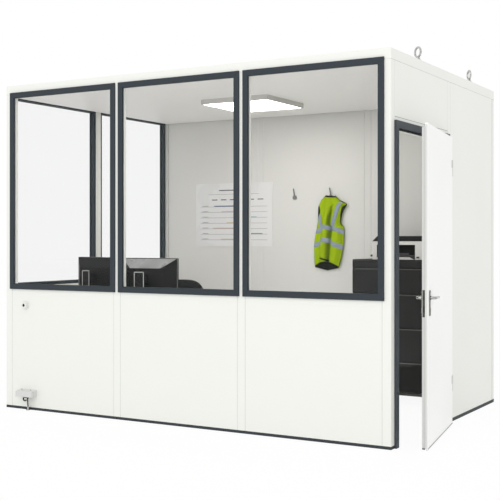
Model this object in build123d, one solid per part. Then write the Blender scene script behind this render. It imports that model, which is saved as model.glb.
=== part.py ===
from build123d import *
import os

# A portable cabin of posts and panels on base rails, with glazed front and left walls, one steel
# door in the right wall and lifting eyes on its roof. Inside stand a desk, a chair and a cabinet.
# Lengths are millimetres. The origin is on the ground, on the line of the front posts, at the middle
# of the front. +X runs along the front to the door end, +Y to the rear, +Z up.

# Shell
BAY = 990
POST = 60
WALL = 45
FRONT_BAYS = 3
SIDE_BAYS = 2
HEIGHT = 2500
EDGE_BEAM = 72
ROOF_DEPTH = 90
ROOF_DROP = 4
BASE_RAIL = 20
SILL = 938
PANEL_FIT = 0.4
PANEL_CHAMFER = 2.5
POST_CHAMFER = 2
BEAM_CHAMFER = 4
EAVES_CHAMFER = 2.5
OVERRUN = 10

# Windows
FRAME_LAP = 15
FRAME_FACE = 40
FRAME_PROUD = 12
FRAME_DEPTH = 36
GLASS = 8
GLASS_RECESS = 10
GLASS_EDGE = 12
GLASS_FIT = 0.5

# Door frame, across the right wall's front bay
DOOR_LAP = 8
DOOR_FACE = 45
DOOR_PROUD = 15
DOOR_STOP = 12
DOOR_CLEAR = 5
TRANSOM = 352
LINTEL = 31

# Door leaf, hung ajar
LEAF_LIP = 18
LEAF_BODY = 24
LEAF_LAP = 20
LEAF_GROUND_GAP = 6
LEAF_EDGE_ROUND = 3
DOOR_AJAR = 10
HINGE_OFFSET = 13
HINGE_SINK = 6
HINGE_RADIUS = 8
HINGE_HEIGHT = 110
HINGE_GAP = 0.6
HINGE_WING = 48
HINGE_WING_THICK = 3
HINGE_ARM = 9
HINGE_PIN_RADIUS = 4
HINGE_PIN_FIT = 0.1
HINGE_PIN_SHARE = 0.8
HINGE_FOOT = 235
HINGE_TOP_DROP = 273

# Lock and levers
BACKSET = 30
LEVER_LEVEL = 942
CYLINDER_DROP = 72
LOCK_PLATE = (30, 160, 5)
LOCK_PLATE_DROP = 48
LOCK_PLATE_ROUND = 8
LEVER_RADIUS = 9
LEVER_REACH = 32
LEVER_GRIP = 115
LEVER_BEND = 16
LEVER_FIT = 0.4
LEVER_END_SHARE = 0.6
SPINDLE = 8
SPINDLE_HOLE = 9
CYLINDER_RADIUS = 8.5
CYLINDER_FIN = (10, 25)
CYLINDER_PROUD = 3
CYLINDER_FIT = 0.3
FOREND = (20, 170, 3)
FOREND_DROP = 50

# Lifting eyes
EYE_RISE = 95
EYE_RADIUS = 32
EYE_STOCK = 7
EYE_COLLAR_RADIUS = 20
EYE_COLLAR_HEIGHT = 24
EYE_NECK_RADIUS = 11
EYE_TURNS = (34, 51)
EYE_PLACE_SHARES = (0.25, 0.75)

# Ceiling light
LIGHT_SIDE = 600
LIGHT_DEPTH = 38
LIGHT_RIM = 14
LIGHT_LENS = 6
LIGHT_OFFSET = (-50, 70)

# Things on the rear wall
PLANNER = (820, 582, 4)
PLANNER_WALL_GAP = 336
PLANNER_MIDDLE = 1536
PLANNER_ROUND = 2
HOOK_PLACE_SHARES = (0.23, 0.591)
HOOK_LEVEL = 1680
HOOK_ROSE = (19, 10)
HOOK_PRONG_RADIUS = 4.5
HOOK_REACH = 28
HOOK_RISE = 72
HOOK_TIP_RADIUS = 6.5
VEST = (320, 655, 46)
VEST_TOP = 1706
VEST_SHIFT = 10
VEST_WALL_GAP = 8
VEST_HOOK_GAP = 0.4
VEST_ROUND = 14
VEST_OUTLINE_SHARES = (
    (-0.13, 0.0),
    (0.12, 0.0),
    (0.5, -0.15),
    (0.34, -0.4),
    (0.42, -0.97),
    (-0.05, -1.0),
    (-0.5, -0.95),
    (-0.4, -0.42),
    (-0.44, -0.2),
)

# Desk
DESK = (1500, 740, 25)
DESK_TOP = 740
DESK_LEFT_GAP = 45
DESK_LEG = 28
DESK_LEG_INSET = 40
DESK_ROUND = 3
DESK_APRON = (300, 18)

# Monitors, seen from behind
MONITOR = (486, 300, 20)
MONITOR_TOP = 1170
MONITOR_ROUND = 6
MONITOR_RIM = 5
MONITOR_BACK_DEPTH = 57
MONITOR_BACK_INSET = 82
MONITOR_NECK = (56, 61)
MONITOR_LEFT = 573
MONITOR_GAP = 46
MONITOR_SETBACKS = (285, 185)
MONITOR_TURNS = (-9, 8)
STAND_POST = (80, 22)
STAND_DROP = 99
STAND_FOOT = (220, 170, 14)
STAND_FOOT_LIP = 10
STAND_ROUND = 5

# Office chair
CHAIR_SHIFT = 34
CHAIR_DESK_GAP = 125
CHAIR_SEAT = (470, 460, 70)
CHAIR_SEAT_TOP = 470
CHAIR_SEAT_ROUND = 25
CHAIR_BACK = (450, 430, 60)
CHAIR_BACK_TOP = 980
CHAIR_BACK_ROUND = 110
CHAIR_BACK_EDGE = 14
CHAIR_BACK_GAP = 10
CHAIR_ARM_PLATE = (70, 10)
CHAIR_COLUMN_RADIUS = 26
CHAIR_HUB_RADIUS = 42
CHAIR_HUB_HEIGHT = 60
CHAIR_SPOKES = 5
CHAIR_SPOKE = (290, 34, 26)
CHAIR_CASTER_RADIUS = 28
CHAIR_CASTER_WIDTH = 44
CHAIR_CASTER_SINK = 14

# Drawer cabinet and printer
CABINET = (800, 450, 1146)
CABINET_WALL_GAP = 179
CABINET_FOOT = (16, 96)
CABINET_FOOT_INSET = 45
DRAWER_FRONT = 18
DRAWER_GAP = 5
DRAWER_SIDE = 6
DRAWER_LEVELS = (96, 333, 600, 871, 1076)
DRAWER_GRIP = 9
PRINTER = (460, 380, 188)
PRINTER_INSET = 164
PRINTER_FRONT_GAP = 35
PRINTER_LID = 42
PRINTER_LID_SLOPE = 44
PRINTER_ROUND = 10
PRINTER_SLOT = (326, 190, 90)
PRINTER_SLOT_LEFT = 40
PRINTER_SLOT_LEVEL = 28

# Fittings low on the front wall
BUSH_INSET = 201
BUSH_DROP = 137
BUSH_RADIUS = 26
BUSH_LENGTH = 27
BUSH_HOLE_RADIUS = 11.5
BUSH_HOLE_DEPTH = 18
BUSH_FLANGE = (34, 4)
BUSH_ROUND = 4
INLET_BOX = (164, 62, 54)
INLET_INSET = 148
INLET_LEVEL = 103
INLET_SLOPE = 12
INLET_ROUND = 6
GLAND_RADIUS = 9
GLAND_LENGTH = 14
GLAND_INSET = 98
CABLE_RADIUS = 4.5
CABLE_OUT = 30
CLIP = (16, 20)
CLIP_LEVEL = 1
CLIP_ROUND = 3

# Outer faces of the shell and its inner levels, from the sizes above
LENGTH = FRONT_BAYS * BAY + (FRONT_BAYS + 1) * POST
WIDTH = SIDE_BAYS * BAY + (SIDE_BAYS + 1) * POST
LEFT_FACE = -LENGTH / 2
RIGHT_FACE = LENGTH / 2
FRONT_FACE = -POST / 2
BACK_FACE = FRONT_FACE + WIDTH
BEAM_FOOT = HEIGHT - EDGE_BEAM
CEILING = HEIGHT - ROOF_DEPTH
REAR_LINING = BACK_FACE - WALL
PITCH = BAY + POST
DOOR_HEAD = BEAM_FOOT - TRANSOM - LINTEL

nodes = {}


def block(x, y, z):
    """Box between the low and the high value of each pair."""
    pairs = [sorted(pair) for pair in (x, y, z)]
    size = [high - low for low, high in pairs]
    middle = [(low + high) / 2 for low, high in pairs]
    return Pos(*middle) * Box(*size)


def wall_block(side, along, into, up):
    """Box on one wall: along it from the front or left corner, into it from the outer face, and up."""
    if side in ("front", "rear"):
        face, inward = (FRONT_FACE, 1) if side == "front" else (BACK_FACE, -1)
        x = [LEFT_FACE + a for a in along]
        y = [face + inward * i for i in into]
    else:
        face, inward = (LEFT_FACE, 1) if side == "left" else (RIGHT_FACE, -1)
        x = [face + inward * i for i in into]
        y = [FRONT_FACE + a for a in along]
    return block(x, y, up)


def bay_span(index):
    """Start and end of a bay along its wall."""
    start = POST + index * PITCH
    return start, start + BAY


def upright_edges(shape):
    return shape.edges().filter_by(Axis.Z)


# Base rails and roof
nodes["base_rail_front"] = wall_block("front", (0, LENGTH), (0, POST), (0, BASE_RAIL))
nodes["base_rail_rear"] = wall_block("rear", (0, LENGTH), (0, POST), (0, BASE_RAIL))
nodes["base_rail_left"] = wall_block("left", (POST, WIDTH - POST), (0, POST), (0, BASE_RAIL))
nodes["base_rail_right"] = wall_block("right", (PITCH, WIDTH - POST), (0, POST), (0, BASE_RAIL))

beam_outer = block((LEFT_FACE, RIGHT_FACE), (FRONT_FACE, BACK_FACE), (BEAM_FOOT, HEIGHT))
beam_outer = chamfer(beam_outer.edges().group_by(Axis.Z)[-1], BEAM_CHAMFER)
beam_outer = chamfer(beam_outer.edges().group_by(Axis.Z)[0], EAVES_CHAMFER)
roof_x = (LEFT_FACE + POST, RIGHT_FACE - POST)
roof_y = (FRONT_FACE + POST, BACK_FACE - POST)
nodes["roof_edge_beam"] = beam_outer - block(roof_x, roof_y, (BEAM_FOOT - OVERRUN, HEIGHT + OVERRUN))
nodes["roof_panel"] = block(roof_x, roof_y, (CEILING, HEIGHT - ROOF_DROP))


# Posts
def post(side, index):
    """Post at the start of a bay: square at a corner, as deep as the wall elsewhere."""
    bays = FRONT_BAYS if side in ("front", "rear") else SIDE_BAYS
    depth = POST if index in (0, bays) else WALL
    start = index * PITCH
    shape = wall_block(side, (start, start + POST), (0, depth), (BASE_RAIL, BEAM_FOOT))
    return chamfer(upright_edges(shape), POST_CHAMFER)


nodes["front_posts"] = Compound([post("front", i) for i in range(FRONT_BAYS + 1)])
nodes["rear_posts"] = Compound([post("rear", i) for i in range(FRONT_BAYS + 1)])
nodes["side_posts"] = Compound([post(side, i) for side in ("left", "right") for i in range(1, SIDE_BAYS)])


# Wall panels
def panel(side, index, low, high):
    """Sandwich panel between two posts, its upright edges eased so that the joints show as lines."""
    start, end = bay_span(index)
    shape = wall_block(side, (start + PANEL_FIT, end - PANEL_FIT), (0, WALL), (low, high))
    return chamfer(upright_edges(shape), PANEL_CHAMFER)


nodes["front_panels"] = Compound([panel("front", i, BASE_RAIL, SILL) for i in range(FRONT_BAYS)])
nodes["left_panels"] = Compound([panel("left", i, BASE_RAIL, SILL) for i in range(SIDE_BAYS)])
nodes["rear_panels"] = Compound([panel("rear", i, BASE_RAIL, BEAM_FOOT) for i in range(FRONT_BAYS)])
nodes["right_panel"] = panel("right", 1, BASE_RAIL, BEAM_FOOT)
nodes["door_lintel"] = panel("right", 0, DOOR_HEAD, DOOR_HEAD + LINTEL)
nodes["door_transom_panel"] = panel("right", 0, DOOR_HEAD + LINTEL, BEAM_FOOT)


# Windows
def window(side, index):
    """Frame that laps the opening's edges outside, with a groove for its pane, and that pane."""
    start, end = bay_span(index)

    def rectangle(grow, into):
        along = (start - grow, end + grow)
        return wall_block(side, along, into, (SILL - grow, BEAM_FOOT + grow))

    aperture = FRAME_LAP - FRAME_FACE
    flange = rectangle(FRAME_LAP, (-FRAME_PROUD, 0))
    body = rectangle(-PANEL_FIT, (0, FRAME_DEPTH))
    glass_into = (GLASS_RECESS - FRAME_PROUD, GLASS_RECESS - FRAME_PROUD + GLASS)
    frame = flange + body - rectangle(aperture, (-FRAME_PROUD - OVERRUN, FRAME_DEPTH + OVERRUN))
    frame -= rectangle(aperture + GLASS_EDGE, glass_into)
    pane = rectangle(aperture + GLASS_EDGE - GLASS_FIT, glass_into)
    return frame, pane


front_windows = [window("front", i) for i in range(FRONT_BAYS)]
left_windows = [window("left", i) for i in range(SIDE_BAYS)]
nodes["front_window_frames"] = Compound([frame for frame, pane in front_windows])
nodes["front_glass"] = Compound([pane for frame, pane in front_windows])
nodes["left_window_frames"] = Compound([frame for frame, pane in left_windows])
nodes["left_glass"] = Compound([pane for frame, pane in left_windows])

# Door frame: one rebated profile, for the two jambs and the head between them
door_start, door_end = bay_span(0)
frame_start = door_start - DOOR_LAP
frame_end = door_end + DOOR_LAP
frame_top = DOOR_HEAD + DOOR_LAP
clear_start = frame_start + DOOR_FACE
clear_end = frame_end - DOOR_FACE
clear_top = frame_top - DOOR_FACE
lip_back = DOOR_PROUD + DOOR_CLEAR
lip_face = lip_back + LEAF_LIP
body_back = lip_back - LEAF_BODY
stop_face = body_back - DOOR_CLEAR


def jamb_profile():
    """Outline of the frame: across from its outer edge, then out from the wall's outer face."""
    return Polyline(
        (0, 0),
        (0, DOOR_PROUD),
        (DOOR_FACE, DOOR_PROUD),
        (DOOR_FACE, stop_face),
        (DOOR_FACE + DOOR_STOP, stop_face),
        (DOOR_FACE + DOOR_STOP, -WALL),
        (DOOR_LAP, -WALL),
        (DOOR_LAP, 0),
        close=True,
    )


def frame_bar(at, across, forward, length):
    """The frame's profile carried straight forward from one point on the wall's outer face."""
    plane = Plane(origin=at, x_dir=across, z_dir=forward)
    return extrude(plane * make_face(jamb_profile()), amount=length)


up, down, rearward, frontward = (0, 0, 1), (0, 0, -1), (0, 1, 0), (0, -1, 0)
front_jamb_top = (RIGHT_FACE, FRONT_FACE + frame_start, frame_top)
rear_jamb_foot = (RIGHT_FACE, FRONT_FACE + frame_end, 0)
head_end = (RIGHT_FACE, FRONT_FACE + clear_end, frame_top)
lintel = nodes["door_lintel"]
jamb_front = frame_bar(front_jamb_top, rearward, down, frame_top) - lintel
jamb_rear = frame_bar(rear_jamb_foot, frontward, up, frame_top) - lintel
head = frame_bar(head_end, down, frontward, clear_end - clear_start)
nodes["door_jamb_front"] = jamb_front
nodes["door_jamb_rear"] = jamb_rear
nodes["door_head"] = head - jamb_front - jamb_rear

# Door leaf, drawn shut: a lip that laps the frame and a body that fills it
lip_along = (clear_start - LEAF_LAP, clear_end + LEAF_LAP)
lip_top = clear_top + LEAF_LAP
body_along = (clear_start + DOOR_CLEAR, clear_end - DOOR_CLEAR)
body_top = clear_top - DOOR_CLEAR
lip = wall_block("right", lip_along, (-lip_face, -lip_back), (LEAF_GROUND_GAP, lip_top))
lip = fillet(lip.edges().group_by(Axis.X)[-1], LEAF_EDGE_ROUND)
body = wall_block("right", body_along, (-lip_back, -body_back), (LEAF_GROUND_GAP, body_top))
leaf = lip + body

lever_y = FRONT_FACE + body_along[0] + BACKSET
cylinder_level = LEVER_LEVEL - CYLINDER_DROP
plate_width, plate_height, plate_thick = LOCK_PLATE
outer_plate_face = RIGHT_FACE + lip_face + plate_thick
inner_plate_face = RIGHT_FACE + body_back - plate_thick


def bar_x(radius, x, y, z):
    """Round bar along X between two places."""
    low, high = sorted(x)
    return Pos((low + high) / 2, y, z) * Rot(0, 90, 0) * Cylinder(radius, high - low)


def cylinder_shape(grow):
    """Lock cylinder: a round barrel with a fin below it."""
    fin_width, fin_drop = CYLINDER_FIN
    x = (inner_plate_face - CYLINDER_PROUD, outer_plate_face + CYLINDER_PROUD)
    barrel = bar_x(CYLINDER_RADIUS + grow, x, lever_y, cylinder_level)
    fin_y = (lever_y - fin_width / 2 - grow, lever_y + fin_width / 2 + grow)
    fin = block(x, fin_y, (cylinder_level - fin_drop - grow, cylinder_level))
    return barrel + fin


def lock_plate(x):
    """Long plate that the lever and the lock cylinder pass through."""
    top = LEVER_LEVEL + LOCK_PLATE_DROP
    y = (lever_y - plate_width / 2, lever_y + plate_width / 2)
    shape = block(x, y, (top - plate_height, top))
    shape = fillet(shape.edges().filter_by(Axis.X), LOCK_PLATE_ROUND)
    shape -= bar_x(LEVER_RADIUS + LEVER_FIT, (x[0] - OVERRUN, x[1] + OVERRUN), lever_y, LEVER_LEVEL)
    return shape - cylinder_shape(CYLINDER_FIT)


def lever(face, outward):
    """Bent round lever whose grip points to the hinges."""
    tip = face + outward * LEVER_REACH
    path = FilletPolyline(
        (face - outward * plate_thick, lever_y, LEVER_LEVEL),
        (tip, lever_y, LEVER_LEVEL),
        (tip, lever_y + LEVER_GRIP, LEVER_LEVEL),
        radius=LEVER_BEND,
    )
    bar = sweep(Plane(path @ 0, z_dir=path % 0) * Circle(LEVER_RADIUS), path=path)
    end = bar.faces().sort_by(Axis.Y)[-1]
    return fillet(end.edges(), LEVER_RADIUS * LEVER_END_SHARE)


spindle_y = (lever_y - SPINDLE / 2, lever_y + SPINDLE / 2)
spindle_z = (LEVER_LEVEL - SPINDLE / 2, LEVER_LEVEL + SPINDLE / 2)
spindle_x = (inner_plate_face, outer_plate_face)
levers = lever(outer_plate_face, 1) + lever(inner_plate_face, -1) + block(spindle_x, spindle_y, spindle_z)
leaf -= bar_x(SPINDLE_HOLE, spindle_x, lever_y, LEVER_LEVEL)
leaf -= cylinder_shape(CYLINDER_FIT)

forend_width, forend_height, forend_thick = FOREND
forend_middle = (lip_back + body_back) / 2
forend_into = (-forend_middle - forend_width / 2, -forend_middle + forend_width / 2)
forend_along = (body_along[0], body_along[0] + forend_thick)
forend_top = LEVER_LEVEL + FOREND_DROP
forend = wall_block("right", forend_along, forend_into, (forend_top - forend_height, forend_top))
leaf -= forend

# Hinges: the lower half on the rear jamb with its pin, the upper half on the leaf
hinge_x = RIGHT_FACE + lip_face - HINGE_SINK
hinge_y = FRONT_FACE + lip_along[1] + HINGE_OFFSET
hinge_half = (HINGE_HEIGHT - HINGE_GAP) / 2
pin_height = hinge_half * HINGE_PIN_SHARE


def hinge_halves(level):
    """Frame half with its arm and pin, and leaf half with its wing and bore."""
    low, high = level, level + HINGE_HEIGHT
    middle = low + hinge_half
    barrel = Pos(hinge_x, hinge_y, low + hinge_half / 2) * Cylinder(HINGE_RADIUS, hinge_half)
    arm_y = (hinge_y - HINGE_ARM / 2, hinge_y + HINGE_ARM / 2)
    arm = block((RIGHT_FACE + DOOR_PROUD, hinge_x), arm_y, (low, middle))
    pin_top = middle + pin_height
    pin = Pos(hinge_x, hinge_y, (middle + pin_top) / 2) * Cylinder(HINGE_PIN_RADIUS, pin_height)
    knuckle = Pos(hinge_x, hinge_y, high - hinge_half / 2) * Cylinder(HINGE_RADIUS, hinge_half)
    wing_x = (RIGHT_FACE + lip_face, RIGHT_FACE + lip_face + HINGE_WING_THICK)
    wing = block(wing_x, (hinge_y - HINGE_WING, hinge_y), (high - hinge_half, high))
    bore_height = pin_height + HINGE_GAP
    bore = Pos(hinge_x, hinge_y, middle + bore_height / 2)
    bore *= Cylinder(HINGE_PIN_RADIUS + HINGE_PIN_FIT, bore_height)
    return barrel + arm + pin, knuckle + wing - bore


hinges = [hinge_halves(level) for level in (HINGE_FOOT, lip_top - HINGE_TOP_DROP)]
nodes["hinge_frame_halves"] = Compound([frame_half for frame_half, leaf_half in hinges])


def ajar(shape):
    """The shut door's piece turned open about the hinge line."""
    return Pos(hinge_x, hinge_y, 0) * Rot(0, 0, DOOR_AJAR) * Pos(-hinge_x, -hinge_y, 0) * shape


plates = [
    lock_plate((RIGHT_FACE + lip_face, outer_plate_face)),
    lock_plate((inner_plate_face, RIGHT_FACE + body_back)),
]
nodes["door_leaf"] = ajar(leaf)
nodes["hinge_leaf_halves"] = Compound([ajar(leaf_half) for frame_half, leaf_half in hinges])
nodes["lock_plates"] = Compound([ajar(plate) for plate in plates])
nodes["lock_cylinder"] = ajar(cylinder_shape(0))
nodes["lock_forend"] = ajar(forend)
nodes["door_levers"] = ajar(levers)


# Lifting eyes on the end beams
def lifting_eye(x, share, turn):
    """Round ring on a tapered collar, turned as it was screwed down."""
    ring = Pos(0, 0, EYE_RISE - EYE_RADIUS - EYE_STOCK) * Rot(90, 0, 0) * Torus(EYE_RADIUS, EYE_STOCK)
    collar = Pos(0, 0, EYE_COLLAR_HEIGHT / 2) * Cone(EYE_COLLAR_RADIUS, EYE_NECK_RADIUS, EYE_COLLAR_HEIGHT)
    place = Pos(x, FRONT_FACE + WIDTH * share, HEIGHT) * Rot(0, 0, -turn)
    return place * (ring + collar)


eye_lines = (LEFT_FACE + POST / 2, RIGHT_FACE - POST / 2)
eye_settings = [(x, share, turn) for x in eye_lines for share, turn in zip(EYE_PLACE_SHARES, EYE_TURNS)]
nodes["lifting_eyes"] = Compound([lifting_eye(*setting) for setting in eye_settings])

# Ceiling light
light_x = LIGHT_OFFSET[0]
light_y = FRONT_FACE + WIDTH / 2 + LIGHT_OFFSET[1]
light_low = CEILING - LIGHT_DEPTH


def light_block(inset, z):
    half = LIGHT_SIDE / 2 - inset
    return block((light_x - half, light_x + half), (light_y - half, light_y + half), z)


nodes["ceiling_light_lens"] = light_block(LIGHT_RIM, (light_low, light_low + LIGHT_LENS))
nodes["ceiling_light_housing"] = light_block(0, (light_low, CEILING)) - nodes["ceiling_light_lens"]

# Wall planner, coat hooks and vest on the rear wall
planner_width, planner_height, planner_thick = PLANNER
planner_x = LEFT_FACE + WALL + PLANNER_WALL_GAP + planner_width / 2
planner = block(
    (planner_x - planner_width / 2, planner_x + planner_width / 2),
    (REAR_LINING - planner_thick, REAR_LINING),
    (PLANNER_MIDDLE - planner_height / 2, PLANNER_MIDDLE + planner_height / 2),
)
nodes["wall_planner"] = fillet(planner.edges().filter_by(Axis.Y), PLANNER_ROUND)

rose_radius, rose_thick = HOOK_ROSE
hook_tip = (REAR_LINING - HOOK_REACH, HOOK_LEVEL + HOOK_RISE)


def coat_hook(x):
    """Round rose on the wall with a prong that leans up and out to a ball tip."""
    start = Vector(x, REAR_LINING - rose_thick / 2, HOOK_LEVEL)
    rose = Pos(start) * Rot(90, 0, 0) * Cylinder(rose_radius, rose_thick)
    run = Vector(x, *hook_tip) - start
    prong = extrude(Plane(origin=start, z_dir=run) * Circle(HOOK_PRONG_RADIUS), amount=run.length)
    return rose + prong + Pos(x, *hook_tip) * Sphere(HOOK_TIP_RADIUS)


free_start = planner_x + planner_width / 2
free_width = RIGHT_FACE - WALL - CABINET_WALL_GAP - CABINET[0] - free_start
hook_places = [free_start + free_width * share for share in HOOK_PLACE_SHARES]
nodes["coat_hooks"] = Compound([coat_hook(x) for x in hook_places])

vest_width, vest_height, vest_thick = VEST
vest_x = hook_places[1] + VEST_SHIFT
vest_y = REAR_LINING - VEST_WALL_GAP
outline = [(vest_width * across, vest_height * drop) for across, drop in VEST_OUTLINE_SHARES]
vest_face = make_face(Polyline(*outline, close=True))
vest_face = fillet(vest_face.vertices(), VEST_ROUND)
vest_plane = Plane(origin=(vest_x, vest_y, VEST_TOP), x_dir=(1, 0, 0), z_dir=frontward)
vest = extrude(vest_plane * vest_face, amount=vest_thick)
hook_half = rose_radius + VEST_HOOK_GAP
hook_low = HOOK_LEVEL - hook_half
hook_out = hook_tip[0] - HOOK_TIP_RADIUS - VEST_HOOK_GAP
hook_x = (hook_places[1] - hook_half, hook_places[1] + hook_half)
hook_room = block(hook_x, (hook_out, REAR_LINING), (hook_low, VEST_TOP + OVERRUN))
nodes["hanging_vest"] = vest - hook_room

# Desk along the front wall
desk_width, desk_depth, desk_thick = DESK
desk_left = LEFT_FACE + WALL + DESK_LEFT_GAP
desk_front = FRONT_FACE + WALL
desk_x = (desk_left, desk_left + desk_width)
desk_y = (desk_front, desk_front + desk_depth)
desk_under = DESK_TOP - desk_thick
desk_top = block(desk_x, desk_y, (desk_under, DESK_TOP))
nodes["desk_top"] = fillet(upright_edges(desk_top), DESK_ROUND)
leg_y = (desk_y[0] + DESK_LEG_INSET, desk_y[1] - DESK_LEG_INSET)
leg_starts = (desk_x[0] + DESK_LEG_INSET, desk_x[1] - DESK_LEG_INSET - DESK_LEG)
apron_height, apron_thick = DESK_APRON
apron_x = (leg_starts[0] + DESK_LEG, leg_starts[1])
apron_y = (leg_y[0], leg_y[0] + apron_thick)
desk_frame = block(apron_x, apron_y, (desk_under - apron_height, desk_under))
for x in leg_starts:
    desk_frame += block((x, x + DESK_LEG), leg_y, (0, desk_under))
nodes["desk_frame"] = desk_frame


# Monitors on the desk, their backs to the front windows
def monitor(x, y, turn):
    """Flat screen with a tapered back and a neck, on a post with a wide foot."""
    width, height, thick = MONITOR
    middle = MONITOR_TOP - height / 2
    screen = Pos(0, 0, middle) * Box(width, thick, height)
    screen = fillet(screen.edges().filter_by(Axis.Y), MONITOR_ROUND)
    back_plane = Plane(origin=(0, -thick / 2, middle), x_dir=(1, 0, 0), z_dir=frontward)
    base = back_plane * Rectangle(width - 2 * MONITOR_RIM, height - 2 * MONITOR_RIM)
    flat_plane = back_plane.offset(MONITOR_BACK_DEPTH)
    flat = flat_plane * Rectangle(width - 2 * MONITOR_BACK_INSET, height - 2 * MONITOR_BACK_INSET)
    screen += loft([base.face(), flat.face()])
    neck_width, neck_length = MONITOR_NECK
    post_width, post_thick = STAND_POST
    foot_width, foot_depth, foot_height = STAND_FOOT
    neck_back = -thick / 2 - MONITOR_BACK_DEPTH
    post_back = neck_back - neck_length
    neck_z = (middle - neck_width / 2, middle + neck_width / 2)
    screen += block((-neck_width / 2, neck_width / 2), (post_back, neck_back), neck_z)
    post_front = post_back - post_thick
    post_z = (DESK_TOP, MONITOR_TOP - STAND_DROP)
    column = block((-post_width / 2, post_width / 2), (post_front, post_back), post_z)
    foot_front = post_front - STAND_FOOT_LIP
    foot_y = (foot_front, foot_front + foot_depth)
    foot = block((-foot_width / 2, foot_width / 2), foot_y, (DESK_TOP, DESK_TOP + foot_height))
    foot = fillet(upright_edges(foot), STAND_ROUND)
    place = Pos(x, y, 0) * Rot(0, 0, turn)
    return place * screen, place * (column + foot)


monitors = []
for i, (setback, turn) in enumerate(zip(MONITOR_SETBACKS, MONITOR_TURNS)):
    monitor_x = desk_left + MONITOR_LEFT + i * (MONITOR[0] + MONITOR_GAP)
    monitors.append(monitor(monitor_x, desk_front + setback, turn))
nodes["monitors"] = Compound([screen for screen, stand in monitors])
nodes["monitor_stands"] = Compound([stand for screen, stand in monitors])

# Office chair at the desk
chair_x = desk_left + desk_width / 2 + CHAIR_SHIFT
chair_y = desk_y[1] + CHAIR_DESK_GAP
seat_width, seat_depth, seat_thick = CHAIR_SEAT
seat_low = CHAIR_SEAT_TOP - seat_thick
seat = Pos(chair_x, chair_y, CHAIR_SEAT_TOP - seat_thick / 2) * Box(seat_width, seat_depth, seat_thick)
nodes["chair_seat"] = fillet(seat.edges(), CHAIR_SEAT_ROUND)
back_width, back_height, back_thick = CHAIR_BACK
back_y = chair_y + seat_depth / 2 + CHAIR_BACK_GAP
back_middle = (chair_x, back_y + back_thick / 2, CHAIR_BACK_TOP - back_height / 2)
back = Pos(*back_middle) * Box(back_width, back_thick, back_height)
back = fillet(back.edges().filter_by(Axis.Y), CHAIR_BACK_ROUND)
nodes["chair_back"] = fillet(back.faces().filter_by(Axis.Y).edges(), CHAIR_BACK_EDGE)

arm_width, arm_thick = CHAIR_ARM_PLATE
arm_x = (chair_x - arm_width / 2, chair_x + arm_width / 2)
arm_back = back_y + back_thick + arm_thick
arm_rise = block(arm_x, (back_y + back_thick, arm_back), (seat_low - arm_thick, back_middle[2]))
arm_run = block(arm_x, (chair_y, arm_back), (seat_low - arm_thick, seat_low))
column_foot = 2 * CHAIR_CASTER_RADIUS - CHAIR_CASTER_SINK
column_height = seat_low - arm_thick - column_foot
column = Pos(chair_x, chair_y, column_foot + column_height / 2)
column *= Cylinder(CHAIR_COLUMN_RADIUS, column_height)
hub = Pos(chair_x, chair_y, column_foot + CHAIR_HUB_HEIGHT / 2)
hub *= Cylinder(CHAIR_HUB_RADIUS, CHAIR_HUB_HEIGHT)
spoke_length, spoke_width, spoke_height = CHAIR_SPOKE
chair_base = arm_rise + arm_run + column + hub
for i in range(CHAIR_SPOKES):
    turn = Pos(chair_x, chair_y, 0) * Rot(0, 0, i * 360 / CHAIR_SPOKES)
    spoke = Pos(spoke_length / 2, 0, column_foot + spoke_height / 2)
    spoke *= Box(spoke_length, spoke_width, spoke_height)
    wheel = Pos(spoke_length - CHAIR_CASTER_RADIUS, 0, CHAIR_CASTER_RADIUS) * Rot(90, 0, 0)
    wheel *= Cylinder(CHAIR_CASTER_RADIUS, CHAIR_CASTER_WIDTH)
    chair_base += turn * (spoke + wheel)
nodes["chair_base"] = chair_base

# Drawer cabinet against the rear wall, with a printer on it
cabinet_width, cabinet_depth, cabinet_height = CABINET
cabinet_right = RIGHT_FACE - WALL - CABINET_WALL_GAP
cabinet_x = (cabinet_right - cabinet_width, cabinet_right)
cabinet_back = REAR_LINING
cabinet_front = cabinet_back - cabinet_depth
carcass_front = cabinet_front + DRAWER_FRONT
foot_radius, foot_height = CABINET_FOOT
foot_places = [
    (x, y)
    for x in (cabinet_x[0] + CABINET_FOOT_INSET, cabinet_x[1] - CABINET_FOOT_INSET)
    for y in (carcass_front + CABINET_FOOT_INSET, cabinet_back - CABINET_FOOT_INSET)
]
cabinet_feet = [Pos(x, y, foot_height / 2) * Cylinder(foot_radius, foot_height) for x, y in foot_places]
nodes["cabinet_feet"] = Compound(cabinet_feet)
nodes["cabinet_body"] = block(cabinet_x, (carcass_front, cabinet_back), (foot_height, cabinet_height))
drawer_x = (cabinet_x[0] + DRAWER_SIDE, cabinet_x[1] - DRAWER_SIDE)
drawer_tops = DRAWER_LEVELS[1:] + (cabinet_height,)
drawer_fronts = []
for low, high in zip(DRAWER_LEVELS, drawer_tops):
    front = block(drawer_x, (cabinet_front, carcass_front), (low + DRAWER_GAP, high))
    grip_edge = front.edges().filter_by(Axis.X).sort_by(Axis.Y)[:2].sort_by(Axis.Z)[-1]
    drawer_fronts.append(chamfer(grip_edge, DRAWER_GRIP))
nodes["cabinet_drawer_fronts"] = Compound(drawer_fronts)

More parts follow.
